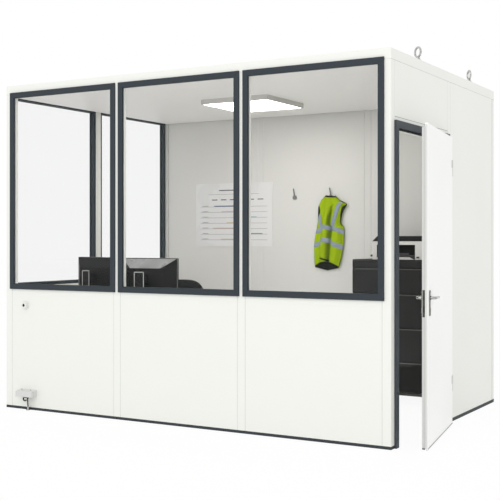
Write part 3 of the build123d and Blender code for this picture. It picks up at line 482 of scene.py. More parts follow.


# Painted reflection: these two steels have dark base colours that stand for the dark reflections on plates,
# screws and forend.
steel_painted_dark_reflection = coat("steel_painted_dark_reflection", (0.19, 0.185, 0.17), (0.10, 0.097, 0.088), 0.24, 260, 0.00004, 26, 1.0,
                   (1, 1, 14), 0.07)
forend_painted_dark = coat("forend_steel_painted_dark_reflection", (0.115, 0.11, 0.095), (0.07, 0.067, 0.058), 0.36, 260, 0.00004, 30,
                  1.0, (1, 1, 14))
# Painted reflections: the lever steel's colour swings between near white and near black in patches, for the
# bright tops and dark undersides.
lever_painted_glints = coat("lever_steel_painted_glints", (0.85, 0.84, 0.81), (0.05, 0.049, 0.045), 0.16, 260, 0.00003,
                      55, 1.0)
dress(steel_painted_dark_reflection, "lock_plates")
dress(lever_painted_glints, "door_levers")
dress(forend_painted_dark, "lock_forend")
nickel_plate = coat("nickel_cylinder", (0.48, 0.46, 0.42), (0.40, 0.38, 0.34), 0.3, 300, 0.00003, 30, 1.0,
                    (14, 1, 1))
dress(nickel_plate, "lock_cylinder")
LEVER_Y, LEVER_Z, CYLINDER_Z = 0.102, 0.942, 0.870
PLATE_OUT, PLATE_IN = 1.648, 1.596
SCREW = [(0.0001, -0.0008), (0.0040, -0.0008), (0.0040, 0.0003), (0.0034, 0.0010), (0.0016, 0.0013)]
COLLAR = [(0.0096, -0.001), (0.0128, -0.001), (0.0128, 0.0035), (0.0118, 0.0046), (0.0096, 0.0046)]
screw_z = np.array([LEVER_Z + 0.038, LEVER_Z - 0.101])
outer_screws = np.column_stack([np.full(2, PLATE_OUT), np.full(2, LEVER_Y), screw_z])
inner_screws = np.column_stack([np.full(2, PLATE_IN), np.full(2, LEVER_Y), screw_z])


def tube_ring(profile, places, axis, segments=32):
    """Turned rings. The closed profile of (radius, height) pairs goes round the axis at every place."""
    points, faces = turned(profile, places, axis, segments)
    k, s, count = len(profile), segments, len(np.atleast_2d(places))
    walls = [(a * s + b, a * s + (b + 1) % s, (a + 1) % k * s + (b + 1) % s, (a + 1) % k * s + b)
             for a in range(k) for b in range(s)]
    return points, repeated(walls, k * s, count)


lock_shapes = [
    turned(SCREW, outer_screws, (1, 0, 0)),
    turned(SCREW, inner_screws, (-1, 0, 0)),
    tube_ring(COLLAR, (PLATE_OUT, LEVER_Y, LEVER_Z), (1, 0, 0)),
    tube_ring(COLLAR, (PLATE_IN, LEVER_Y, LEVER_Z), (-1, 0, 0)),
]
FOREND_FACE, FOREND_X = 0.072, RIGHT + 0.008
forend_screws = np.array([(FOREND_X, FOREND_FACE, 0.983), (FOREND_X, FOREND_FACE, 0.831)])
lock_shapes.append(turned(SCREW, forend_screws, (0, -1, 0)))
piece("lock_screws_and_collars", swung(joined(*lock_shapes)), steel_painted_dark_reflection, body="door")

dark_slot = coat("lock_shadow", (0.012, 0.012, 0.012), (0.02, 0.02, 0.02), 0.5, 500, 0.00003, 20)
KEYWAY_HALF, KEYWAY_WIDTH, SLOT_RISE = 0.0045, 0.0018, 0.0002
slot_shapes = []
for x, way in ((PLATE_OUT + 0.003, 1), (PLATE_IN - 0.003, -1)):
    slot_shapes.append(strips((x, LEVER_Y, CYLINDER_Z - KEYWAY_HALF), (x, LEVER_Y, CYLINDER_Z + KEYWAY_HALF),
                              (way, 0, 0), KEYWAY_WIDTH, SLOT_RISE))
for low, high, width in ((0.930, 0.954, 0.012), (0.853, 0.889, 0.010)):
    slot_shapes.append(strips((FOREND_X, FOREND_FACE, low), (FOREND_X, FOREND_FACE, high), (0, -1, 0), width,
                              SLOT_RISE))
SCREW_HALF, SCREW_SLOT, SCREW_SLOT_RISE = 0.0024, 0.0009, 0.0003
for level in screw_z:
    for x, way in ((PLATE_OUT + 0.0012, 1), (PLATE_IN - 0.0012, -1)):
        slot_shapes.append(strips((x, LEVER_Y - SCREW_HALF, level), (x, LEVER_Y + SCREW_HALF, level),
                                  (way, 0, 0), SCREW_SLOT, SCREW_SLOT_RISE))
piece("lock_slots", swung(joined(*slot_shapes)), dark_slot, body="door")

# Hinges: two plated steel pin hinges, each a leaf half screwed to the door over a frame half with the pin.
# Turned caps close both ends of every barrel.
plated_steel = coat("plated_steel", (0.66, 0.66, 0.65), (0.58, 0.58, 0.57), 0.4, 300, 0.00004, 25, 0.35,
                    (1, 1, 10))
dress(plated_steel, "hinge_frame_halves", "hinge_leaf_halves")
HINGE_FEET = np.array([0.235, 1.755])
HINGE_HEIGHT = 0.110
CAP = [(0.0078, -0.0002), (0.0078, 0.0012), (0.0066, 0.0030), (0.0040, 0.0042), (0.0014, 0.0046)]
cap_tops = np.column_stack([np.full(2, HINGE_X), np.full(2, HINGE_Y), HINGE_FEET + HINGE_HEIGHT])
wing_screws = np.array([(LIP_FACE + 0.003, y, foot + z) for foot in HINGE_FEET for y in (0.977, 0.995)
                        for z in (0.068, 0.098)])
leaf_fittings = joined(turned(CAP, cap_tops, (0, 0, 1)), turned(SCREW, wing_screws, (1, 0, 0)))
piece("hinge_screws_and_caps", swung(leaf_fittings), plated_steel, body="door")
cap_feet = np.column_stack([np.full(2, HINGE_X), np.full(2, HINGE_Y), HINGE_FEET])
piece("hinge_foot_caps", turned(CAP, cap_feet, (0, 0, -1)), plated_steel)

# Lifting eyes: four forged and galvanised ring bolts, screwed down through the eaves beam at the ends.
# Each stands on a round washer.
# Painted reflections: the zinc's colour swings between near white and near black in small patches, standing
# for the bright and dark reflections on rings and washers.
zinc_painted_glints = coat("galvanised_painted_glints", (0.95, 0.95, 0.92), (0.02, 0.02, 0.02), 0.28, 340, 0.00012, 75, 1.0,
                  spread=0.12)
dress(zinc_painted_glints, "lifting_eyes")
eye_places = np.array([(x, y, ROOF) for x in (LEFT + POST / 2, RIGHT - POST / 2) for y in (0.51, 1.59)])
WASHER = [(0.0185, -0.0004), (0.0250, -0.0004), (0.0250, 0.0022), (0.0240, 0.0030), (0.0185, 0.0030)]
piece("eye_washers", tube_ring(WASHER, eye_places, (0, 0, 1)), zinc_painted_glints)

# Ceiling light: a shallow white steel tray screwed to the ceiling, with a clear prism sheet clipped below.
# It is lit, so the sheet is plain white from every side.
tray_coat = coat("light_tray_coat", (0.62, 0.61, 0.59), (0.57, 0.56, 0.54), 0.45, 500, 0.00005)
dress(tray_coat, "ceiling_light_housing")
prism_sheet = coat("lit_prism_sheet", (0.93, 0.93, 0.93), (0.90, 0.90, 0.90), 0.25, 180, 0.0008, 4)
fed(prism_sheet.node_tree, prism_sheet.node_tree.nodes["Principled BSDF"],
    {"Emission Color": (1.0, 0.965, 0.92, 1), "Emission Strength": 10.0})
dress(prism_sheet, "ceiling_light_lens")

# Wall planner: a printed and laminated sheet on a thin board, hung on the rear wall.
# Its print is a plain year chart: a head bar and rule, column marks, seven row lines and coloured bars.
board_paper = coat("laminated_sheet", (0.775, 0.772, 0.768), (0.755, 0.752, 0.748), 0.3, 600, 0.00003, 3)
dress(board_paper, "wall_planner")
CHART_LEFT, CHART_TOP, CHART_WIDTH, CHART_HEIGHT = -1.224, 1.827, 0.820, 0.582
CHART_FACE, PRINT = LINING - 0.004, 0.0003
print_colours = {
    "ink": (0.06, 0.065, 0.075), "rule": (0.22, 0.225, 0.225), "blue": (0.13, 0.20, 0.33),
    "pink": (0.68, 0.53, 0.59), "teal": (0.41, 0.58, 0.61), "amber": (0.685, 0.60, 0.42),
    "orange": (0.65, 0.50, 0.42), "green": (0.20, 0.31, 0.25), "lime": (0.58, 0.615, 0.41),
}
inks = [coat("print_" + key, colour, tuple(0.85 * c for c in colour), 0.35, 900, 0.00002, 30)
        for key, colour in print_colours.items()]
ink_names = list(print_colours)
chart = [("ink", 0.31, 0.60, 0.112, 0.015), ("rule", 0.165, 0.83, 0.175, 0.004)]
chart += [("ink", 0.215 + 0.1195 * k, 0.288 + 0.1195 * k, 0.262, 0.0145) for k in range(6)]
row_drops = np.linspace(0.372, 0.898, 7)
chart += [("rule", 0.063, 0.935, drop, 0.0045) for drop in row_drops]
chart += [("ink", 0.09, 0.165, drop - 0.014, 0.006) for drop in row_drops]
bars = [("blue", 0.245, 0.56, 0), ("pink", 0.345, 0.56, 1), ("teal", 0.50, 0.80, 2), ("amber", 0.41, 0.66, 3),
        ("orange", 0.228, 0.55, 4), ("green", 0.60, 0.873, 5), ("lime", 0.336, 0.58, 6)]
chart += [(ink, a, b, row_drops[row] - 0.010, 0.015) for ink, a, b, row in bars]
chart_shapes = []
for ink, left_share, right_share, drop_share, width_share in chart:
    mark_z = CHART_TOP - drop_share * CHART_HEIGHT
    mark_start = (CHART_LEFT + left_share * CHART_WIDTH, CHART_FACE, mark_z)
    mark_end = (CHART_LEFT + right_share * CHART_WIDTH, CHART_FACE, mark_z)
    chart_shapes.append(strips(mark_start, mark_end, (0, -1, 0), width_share * CHART_HEIGHT, PRINT))
chart_picks = np.repeat([ink_names.index(row[0]) for row in chart], 8)
piece("planner_print", joined(*chart_shapes), inks, picks=chart_picks)

# Coat hooks: two cast steel hooks, each a round rose with a prong that leans up and out to a ball tip.
# Two round-headed screws hold each rose to the rear wall.
hook_steel = coat("cast_hook", (0.30, 0.29, 0.28), (0.24, 0.23, 0.22), 0.35, 500, 0.00006, 20, 0.9)
dress(hook_steel, "coat_hooks")
HOOK_X, HOOK_LEVEL = np.array([-0.1774, 0.1781]), 1.680
hook_screws = np.array([(x + d, LINING - 0.010, HOOK_LEVEL) for x in HOOK_X for d in (-0.0125, 0.0125)])
HOOK_SCREW = [(0.0001, -0.0006), (0.0036, -0.0006), (0.0036, 0.0004), (0.0028, 0.0016), (0.0012, 0.0021)]
piece("hook_screws", turned(HOOK_SCREW, hook_screws, (0, -1, 0), 16), hook_steel)


# Safety vest: a lime knitted polyester vest hung from the right hook by its neck, front towards the room.
# Grey reflective tapes go round it and over the shoulders. Black binding edges the neck and the flap's hem.
def weave(name, colour, shade, pitch, bump, ways, rough=0.85, sheen=0.25):
    """Woven cloth. Two sets of bands, a pitch apart in metres, cross along the two named ways and lift the
    surface by bump metres, on top of the slow blend of colour and shade."""
    material = coat(name, colour, shade, rough, 1 / pitch, bump / 2, 7)
    tree = material.node_tree
    shader = tree.nodes["Principled BSDF"]
    place = tree.nodes.new("ShaderNodeTexCoord").outputs["Object"]
    bands = []
    for way in ways:
        band = tree.nodes.new("ShaderNodeTexWave")
        band.bands_direction = way
        fed(tree, band, {"Vector": place, "Scale": math.pi / 10 / pitch})
        bands.append(band.outputs["Fac"])
    lift = lifted(tree, sums(tree, "MAXIMUM", *bands), 0.6, bump)
    fed(tree, lift, {"Normal": shader.inputs["Normal"].links[0].from_socket})
    fed(tree, shader, {"Sheen Weight": sheen, "Normal": lift.outputs["Normal"]})
    return material


def smooth(x, low, high):
    """0 below low and 1 above high, with a soft step between."""
    t = np.clip((x - low) / (high - low), 0, 1)
    return t * t * (3 - 2 * t)


VEST_X, VEST_Z, VEST_MID = 0.1883, 1.700, 2.062
front_left = np.array([(9, -48), (56, -94), (96, -116), (113, -108), (140, -98), (165, -103), (195, -116),
                       (282, -134), (378, -154), (456, -164), (560, -158), (634, -154)]) / 1000
front_right = np.array([(17, 44), (56, 82), (78, 128), (90, 150), (109, 108), (169, 92), (240, 88), (269, 95),
                        (282, 123), (334, 125), (447, 118), (560, 96), (634, 72)]) / 1000
back_left = np.array([(5, -48), (50, -94), (110, -124), (178, -126), (230, -128), (300, -140), (400, -160),
                      (456, -166), (600, -160), (640, -154)]) / 1000
back_right = np.array([(10, 44), (50, 82), (70, 128), (87, 156), (104, 148), (135, 126), (170, 110),
                       (237, 94), (262, 102), (282, 124), (334, 127), (447, 120), (560, 100),
                       (640, 76)]) / 1000
FLAP_LEFT, FLAP_RIGHT = 0.235, 0.565


def across(edges_left, edges_right, s, drop):
    """Place along the wall: from the left to the right measured edge by s, at a drop below the hook."""
    left = np.interp(drop, edges_left[:, 0], edges_left[:, 1])
    right = np.interp(drop, edges_right[:, 0], edges_right[:, 1])
    return VEST_X + left + s * (right - left)


def vest_front(s, drop):
    """Front of the vest between its measured edges: a slack belly with slow folds, a deep crease right of
    the middle, and edges that stand off the back where the armholes are open."""
    low = smooth(drop, 0.05, 0.40)
    belly = 0.014 * np.sqrt(np.clip(np.sin(math.pi * np.clip(s, 0, 1)), 0, 1))
    crease = 0.020 * np.exp(-((s - 0.550) / 0.034) ** 2) * smooth(drop, 0.04, 0.20)
    folds = 0.0035 * np.sin(2 * math.pi * (2.6 * s + 0.8 * drop)) * low
    folds += 0.0030 * (np.exp(-((s - 0.80) / 0.07) ** 2) - np.exp(-((s - 0.12) / 0.05) ** 2)) * low
    armholes = smooth(drop, 0.10, 0.14) - smooth(drop, 0.22, 0.28)
    arms = 0.007 * armholes * (np.exp(-s / 0.1) + np.exp((s - 1) / 0.1))
    return np.stack([across(front_left, front_right, s, drop), VEST_MID - belly + crease - folds - arms,
                     VEST_Z - drop + 0 * s], axis=-1)


def vest_flap(q, drop):
    """Overlap of the vest's front: a ridge that stands out from the front cloth, steep at its free left
    edge, and that rolls back into the crease at its right."""
    grid = vest_front(FLAP_LEFT + q * (FLAP_RIGHT - FLAP_LEFT), drop)
    roll = smooth(q, 0.0, 0.30) * (1 - smooth(q, 0.55, 1.0))
    grid[..., 1] -= 0.0025 + (0.003 * (1 - smooth(q, 0.8, 1.0)) + 0.011 * roll) * smooth(drop, 0.02, 0.22)
    return grid


def vest_back(s, drop):
    """Back of the vest: across by s between its own edges, nearly flat to the wall, with two slow waves."""
    bow = 0.009 * np.sqrt(np.clip(np.sin(math.pi * np.clip(s, 0, 1)), 0, 1))
    wave = 0.002 * np.sin(2 * math.pi * (2 * s + 0.3)) * smooth(drop, 0.1, 0.4) * np.sin(math.pi * s)
    return np.stack([across(back_left, back_right, s, drop), VEST_MID + 0.001 + bow + wave,
                     VEST_Z - drop + 0 * s], axis=-1)


def patch(rows, cols):
    """Faces of a grid of points, rows by cols."""
    at = np.arange(rows * cols).reshape(rows, cols)
    corners = np.stack([at[:-1, :-1], at[1:, :-1], at[1:, 1:], at[:-1, 1:]], -1)
    return [tuple(face) for face in corners.reshape(-1, 4).tolist()]


def hung(surface, top, hem, cols, rows=96):
    """Cloth on a surface: cols across, and rows down from its top line to its hem."""
    s, t = np.linspace(0, 1, cols)[None, :], np.linspace(0, 1, rows)[:, None]
    start, end = np.interp(s, *top), np.interp(s, *hem)
    return surface(s, start + t * (end - start)).reshape(-1, 3), patch(rows, cols)


front_cloth = hung(vest_front, ([0, 0.5, 1], [0.009, 0.016, 0.017]),
                   ([0, 0.2, 0.25, 0.5, 0.6, 0.7, 1], [0.622, 0.594, 0.590, 0.584, 0.588, 0.594, 0.628]), 96)
flap_cloth = hung(vest_flap, ([0, 1], [0.014, 0.018]), ([0, 1], [0.553, 0.578]), 40)
back_points, back_faces = hung(vest_back, ([0, 0.3, 0.5, 0.7, 1], [0.005, 0.030, 0.042, 0.032, 0.010]),
                               ([0, 0.5, 1], [0.636, 0.663, 0.640]), 64)
back_cloth = (back_points, [face[::-1] for face in back_faces])
lime_knit = weave("lime_knit", (0.365, 0.515, 0.001), (0.30, 0.435, 0.001), 0.0012, 0.0003, ("X", "Z"),
                  sheen=0.0)
# Painted shade: the cloth's inner side, seen in the armholes and below the hem, is near black for the shade
# inside the vest.
knit_inside_painted_shade = weave("knit_inside_painted_shade", (0.014, 0.015, 0.013), (0.010, 0.011, 0.010), 0.0012, 0.0003, ("X", "Z"),
                    sheen=0.0)
for cloth in (lime_knit, knit_inside_painted_shade):
    dulled(cloth, 0.12)
vest_shape = joined(front_cloth, flap_cloth, back_cloth)
vest = piece("vest_cloth", vest_shape, [lime_knit, knit_inside_painted_shade], closed=False, sharp=80)


def painted_fold_shade(places):
    """Painted shade at each point, 0 to about 1: a bell across the crease, lower ones under the flap's free
    edge and at the right side, all by the point's share of the front's width."""
    drop = VEST_Z - places[:, 2]
    left = np.interp(drop, front_left[:, 0], front_left[:, 1])
    right = np.interp(drop, front_right[:, 0], front_right[:, 1])
    share = (places[:, 0] - VEST_X - left) / (right - left)
    crease = 0.80 * np.exp(-((share - 0.490) / 0.070) ** 2) * smooth(drop, 0.05, 0.20)
    edge = 0.45 * np.exp(-((share - 0.215) / 0.018) ** 2)
    side = 0.30 * np.exp(-((share - 0.93) / 0.05) ** 2)
    return crease + edge + side


# Painted shade: the knit's lime blends towards dark green in the crease, under the flap's free edge and at
# the right side.
fold_shade_mark = vest.data.attributes.new("fold_shade", "FLOAT", "POINT")
fold_shade_mark.data.foreach_set("value", painted_fold_shade(vest_shape[0]).astype(np.float32))
knit_tree = lime_knit.node_tree
knit_base = knit_tree.nodes["Principled BSDF"].inputs["Base Color"]
FOLD_SHADE_GREEN = (0.075, 0.125, 0.001, 1)
fold_shade_read = knit_tree.nodes.new("ShaderNodeAttribute")
fold_shade_read.attribute_name = "fold_shade"
fold_shaded_colour = blended(knit_tree, fold_shade_read.outputs["Fac"], knit_base.links[0].from_socket, FOLD_SHADE_GREEN)
knit_tree.links.new(fold_shaded_colour, knit_base)
thick = vest.modifiers.new("cloth", "SOLIDIFY")
thick.thickness = 0.0012
thick.offset = -1
thick.material_offset = 1


def tape(surface, line, width, count=40, rows=5, rise=0.0015):
    """Strip sewn on the vest: its middle follows a line of (across, drop) points, its edges lie half a width
    above and below, and it stands a little in front of the cloth."""
    line = np.asarray(line, float)
    step = np.linspace(0, 1, count)
    at = np.linspace(0, 1, len(line))
    middle, drop = np.interp(step, at, line[:, 0]), np.interp(step, at, line[:, 1])
    shift = np.linspace(-width / 2, width / 2, rows)[None, :]
    grid = surface(middle[:, None] + 0 * shift, drop[:, None] + shift)
    grid[..., 1] -= rise
    return grid.reshape(-1, 3), [f[::-1] for f in patch(count, rows)]


def brace(line, width, count=40, rows=5, rise=0.0028):
    """Strip sewn down the front: its middle follows a line of (millimetres right of the hook, drop) points
    and its edges lie half a width to each side."""
    line = np.asarray(line, float) / 1000
    step = np.linspace(0, 1, count)
    at = np.linspace(0, 1, len(line))
    u, drop = np.interp(step, at, line[:, 0]), np.interp(step, at, line[:, 1])
    left = np.interp(drop, front_left[:, 0], front_left[:, 1])[:, None]
    right = np.interp(drop, front_right[:, 0], front_right[:, 1])[:, None]
    shift = np.linspace(-width / 2, width / 2, rows)[None, :]
    share = np.clip((u[:, None] + shift - left) / (right - left), 0, 1)
    grid = vest_front(share, drop[:, None] + 0 * shift)
    grid[..., 1] -= rise
    return grid.reshape(-1, 3), patch(count, rows)


TAPE = 0.040
tape_shapes = [
    tape(vest_front, [(0.0, 0.323), (0.25, 0.306)], TAPE),
    tape(vest_flap, [(0.0, 0.281), (0.5, 0.286), (1.0, 0.298)], TAPE),
    tape(vest_front, [(0.555, 0.288), (0.75, 0.306), (1.0, 0.332)], TAPE),
    tape(vest_front, [(0.0, 0.445), (0.25, 0.424)], TAPE),
    tape(vest_flap, [(0.0, 0.394), (0.5, 0.398), (1.0, 0.408)], TAPE),
    tape(vest_front, [(0.555, 0.424), (0.75, 0.440), (1.0, 0.464)], TAPE),
    brace([(98, 72), (72, 104), (45, 187), (19, 276)], 0.037),
    brace([(-108, 172), (-102, 225), (-95, 292)], 0.026),
]
reflective = weave("reflective_tape", (0.28, 0.33, 0.42), (0.24, 0.285, 0.37), 0.0009, 0.00012, ("X", "Z"),
                   0.45, 0.0)
tapes = piece("vest_tapes", joined(*tape_shapes), reflective, closed=False, sharp=80)
bound = weave("black_binding", (0.008, 0.008, 0.008), (0.012, 0.012, 0.012), 0.001, 0.0002, ("X", "Z"),
              sheen=0.0)
dulled(bound, 0.1)
BINDING, TAPE_THICK = 0.014, 0.0006
neck_binding = tape(vest_front, [(0.02, 0.014), (0.5, 0.021), (0.98, 0.022)], BINDING, rise=0.003)
flap_binding = tape(vest_flap, [(0.0, 0.553), (1.0, 0.578)], BINDING, rise=0.004)
bindings = joined(neck_binding, flap_binding)
binding = piece("vest_binding", bindings, bound, closed=False, sharp=80)
for strip in (tapes, binding):
    body = strip.modifiers.new("cloth", "SOLIDIFY")
    body.thickness = TAPE_THICK
    body.offset = 0
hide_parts("hanging_vest")

# Desk: a grey laminate board on a welded steel frame with a silver powder coat.
# It stands against the left and front walls, with its knee space open to the room.
laminate = coat("grey_laminate", (0.50, 0.50, 0.49), (0.46, 0.46, 0.45), 0.42, 700, 0.00005, 30)
desk_coat = coat("silver_desk_coat", (0.33, 0.34, 0.35), (0.29, 0.30, 0.31), 0.42, 900, 0.00006, 6, 0.4)
dress(laminate, "desk_top")
dress(desk_coat, "desk_frame")


# Monitors: two flat screens in black moulded cases, backs to the window, on black stands with silver trim.
# Each case has vent slots in its back and a silver rim. The right one has a pale sheet on its top bevel, a
# painted highlight.
case_black = coat("black_moulding", (0.014, 0.014, 0.014), (0.021, 0.020, 0.020), 0.5, 1600, 0.00012, 6)
dulled(case_black, 0.1)
stand_silver = coat("silver_trim", (0.62, 0.62, 0.61), (0.52, 0.52, 0.51), 0.35, 900, 0.00003, 12, 0.3)
dress(case_black, "monitors", "monitor_stands")
MONITORS = [((-0.942, 0.300), -9), ((-0.410, 0.200), 8)]
SCREEN_MIDDLE = 1.020


def stood(shape, spot, degrees):
    """A shape drawn about one monitor's own middle, turned and set down on its place on the desk."""
    points, faces = shape
    a = math.radians(degrees)
    turn = np.array([(math.cos(a), math.sin(a), 0), (-math.sin(a), math.cos(a), 0), (0, 0, 1)])
    return np.asarray(points) @ turn + (*spot, 0), faces


def slab(centre, half, facing, depth):
    """One flat plate of given half sizes that stands depth out of its centre's plane, its rim cut by half."""
    centre, facing = np.asarray(centre, float), np.asarray(facing, float)
    up = np.array((0, 0, 1.0)) if abs(facing[2]) < 0.9 else np.array((0, 1.0, 0))
    right = np.cross(up, facing)
    rim = [(0, 0), (0, depth / 2), (depth / 2, depth)]
    rings, faces = mitred(centre, right, up, facing, *half, rim)
    walls = [f for f in faces if not (f[0] % 3 == 2 and f[3] % 3 == 0)]
    return rings, walls + [(0, 3, 6, 9), (2, 5, 8, 11)]


def hoop(half, depth, low, high, width, rise):
    """Trim round three sides of an upright rectangle: up its left, across its top and down its right."""
    corners = np.array([(-half, depth, low), (-half, depth, high), (half, depth, high), (half, depth, low)])
    return strips(corners[:-1], corners[1:], (0, -1, 0), width, rise)


VENT_FACE, VENT_LOW, VENT_HIGH, VENT_WIDTH, VENT_RISE = -0.0666, 1.060, 1.078, 0.0045, 0.0006
vent_feet = np.array([(x, VENT_FACE, VENT_LOW) for x in np.linspace(-0.06, 0.06, 13)])
vents = strips(vent_feet, vent_feet + (0, 0, VENT_HIGH - VENT_LOW), (0, -1, 0), VENT_WIDTH, VENT_RISE)
screen = slab((0, 0.0102, SCREEN_MIDDLE + 0.004), (0.234, 0.137), (0, 1, 0), 0.0006)
trims = joined(hoop(0.2422, -0.0095, 0.871, 1.1695, 0.0014, 0.0012),
               hoop(0.0373, -0.1498, 0.756, 1.0683, 0.0052, 0.0014))
screen_glass = coat("dark_screen", (0.006, 0.007, 0.008), (0.009, 0.010, 0.011), 0.12, 400, 0.00002, 8)
screens = joined(*[stood(screen, *place) for place in MONITORS])
piece("monitor_screens", screens, screen_glass)
vent_dark = coat("dark_infill", (0.014, 0.014, 0.015), (0.02, 0.02, 0.021), 0.55, 1500, 0.0001, 10)
vent_slots = joined(*[stood(vents, *place) for place in MONITORS])
piece("monitor_vents", vent_slots, vent_dark)
silver_trims = joined(*[stood(trims, *place) for place in MONITORS])
piece("monitor_trims", silver_trims, stand_silver)


def bevel_highlight_sheet(outer, inner, rise):
    """Painted highlight over the top bevel of a case: a closed slab between an upper and a lower line, each
    given as its left and right ends, its depth and its height, standing rise out from the bevel."""
    bottom = np.array([(outer[0], *outer[2:]), (outer[1], *outer[2:]), (inner[1], *inner[2:]),
                       (inner[0], *inner[2:])])
    inward = np.cross(bottom[1] - bottom[0], bottom[3] - bottom[0])
    top = bottom - rise * inward / np.linalg.norm(inward)
    points = np.concatenate([bottom, top]) + (0, 0, SCREEN_MIDDLE)
    return points, [(0, 1, 2, 3), (4, 5, 6, 7), (0, 1, 5, 4), (1, 2, 6, 5), (2, 3, 7, 6), (3, 0, 4, 7)]


# Painted highlight: a pale sheet stands for the light that the right case's top bevel catches from the
# ceiling.
upper_line, lower_line = (-0.209, 0.2364, -0.0112, 0.1434), (-0.123, 0.128, -0.0623, 0.0744)
top_bevel_highlight = stood(bevel_highlight_sheet(upper_line, lower_line, 0.0008), *MONITORS[1])
bevel_painted_highlight = coat("painted_bevel_highlight", (0.50, 0.50, 0.49), (0.26, 0.26, 0.26), 0.3, 900, 0.00003, 7, 0.3)
piece("monitor_bevel_highlight", top_bevel_highlight, bevel_painted_highlight)

# Office chair: a foam seat and back covered in black woven cloth, on a five-armed moulded caster base.
# Each cover is blown up over its foam by the cloth solver, from a crowned pad with rounded corners.
chair_moulding = coat("chair_moulding", (0.022, 0.022, 0.023), (0.03, 0.03, 0.031), 0.55, 1400, 0.00015, 8)
dress(chair_moulding, "chair_base")
CHAIR_X, SEAT_Y, BACK_Y = -0.731, 0.880, 1.150


def cushion(centre, half, waist, crown, flat, square=0.42, rows=40, cols=120):
    """Crowned pad with rounded corners. Going round, the outline is a circle squared by a power and drawn in
    by waist; going up, the section is a squared half round, thickest by crown in the middle, and flat pulls
    its underside in."""
    centre, half = np.asarray(centre, float), np.asarray(half, float)
    turn = np.linspace(0, 2 * math.pi, cols, endpoint=False)[None, :]
    climb = np.linspace(-math.pi / 2, math.pi / 2, rows)[:, None]
    c, s = np.cos(turn), np.sin(turn)
    round_x, round_y = np.sign(c) * np.abs(c) ** square, np.sign(s) * np.abs(s) ** square
    draw = 1 - waist * np.cos(2 * turn) ** 2
    reach = np.abs(np.cos(climb)) ** 0.38
    level = np.sign(np.sin(climb)) * np.abs(np.sin(climb)) ** 0.75
    dome = 1 + crown * (1 - reach ** 2)
    level = np.where(level < 0, level * flat, level * dome)
    x, y = reach * round_x * draw * half[0], reach * round_y * draw * half[1]
    z = np.broadcast_to(level * half[2], x.shape)
    grid = np.stack([x, y, z], -1)
    body = grid[1:-1].reshape(-1, 3)
    points = np.concatenate([body, grid[0, :1], grid[-1, :1]]) + centre
    ring = np.arange((rows - 2) * cols).reshape(rows - 2, cols)
    after = np.roll(ring, -1, axis=1)
    faces = np.stack([ring[:-1], after[:-1], after[1:], ring[1:]], -1).reshape(-1, 4).tolist()
    foot, tip = len(body), len(body) + 1
    faces += [(foot, b, a) for a, b in zip(ring[0], after[0])]
    faces += [(tip, a, b) for a, b in zip(ring[-1], after[-1])]
    return points, [tuple(int(i) for i in f) for f in faces]


def stuffed(shape, cap, cell=0.006, steps=20):
    """Padded cover. The shape is remeshed into even cells and blown up by the cloth solver under a light
    inner pressure without weight, and no point ends further than cap from where it began."""
    cover_mesh = bpy.data.meshes.new("pad_cover")
    cover_mesh.from_pydata(np.asarray(shape[0]).tolist(), [], shape[1])
    cover = bpy.data.objects.new("pad_cover", cover_mesh)
    bpy.context.scene.collection.objects.link(cover)
    cells = cover.modifiers.new("cells", "REMESH")
    cells.mode = "VOXEL"
    cells.voxel_size = cell
    even = bpy.data.meshes.new_from_object(cover.evaluated_get(bpy.context.evaluated_depsgraph_get()))
    cover.modifiers.clear()
    cover.data = even
    cloth = cover.modifiers.new("cloth", "CLOTH")
    cloth.settings.use_pressure = True
    cloth.settings.uniform_pressure_force = 4
    cloth.settings.effector_weights.gravity = 0
    for step in range(1, steps + 1):
        bpy.context.scene.frame_set(step)
    swollen = cover.evaluated_get(bpy.context.evaluated_depsgraph_get()).data
    start, end = np.empty(len(even.vertices) * 3), np.empty(len(even.vertices) * 3)
    even.vertices.foreach_get("co", start)
    swollen.vertices.foreach_get("co", end)
    start, move = start.reshape(-1, 3), (end - start).reshape(-1, 3)
    reach = np.linalg.norm(move, axis=1, keepdims=True)
    points = start + move * np.minimum(1, cap / np.maximum(reach, 1e-9))
    faces = [tuple(face.vertices) for face in even.polygons]
    bpy.data.objects.remove(cover)
    bpy.context.scene.frame_set(1)
    return points, faces


CLOTH, CLOTH_SHADE = (0.017, 0.017, 0.018), (0.025, 0.025, 0.027)
seat_cloth = weave("chair_cloth", CLOTH, CLOTH_SHADE, 0.0016, 0.0004, ("X", "Y"), sheen=0.0)
rest_cloth = weave("chair_back_cloth", CLOTH, CLOTH_SHADE, 0.0016, 0.0004, ("X", "Z"), sheen=0.0)
for cloth in (seat_cloth, rest_cloth):
    dulled(cloth, 0.15)
SWELL = 0.006
seat_half = (0.233 - SWELL, 0.228 - SWELL, 0.034 - SWELL)
seat_start = cushion((CHAIR_X, SEAT_Y, 0.433), seat_half, 0.03, 0.08, 0.9)
seat = piece("chair_seat_pad", stuffed(seat_start, SWELL), seat_cloth, sharp=80)
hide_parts("chair_seat")
rest_half = (0.223 - SWELL, 0.219 - SWELL, 0.028 - SWELL)
rest_points, rest_faces = stuffed(cushion((0, 0, 0), rest_half, 0.03, 0.08, 0.95, square=0.76), SWELL)
rest_stood = rest_points[:, (0, 2, 1)] * (1, -1, 1) + (CHAIR_X, BACK_Y, 0.772)
rest = piece("chair_back_pad", (rest_stood, rest_faces), rest_cloth, sharp=80)
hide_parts("chair_back")

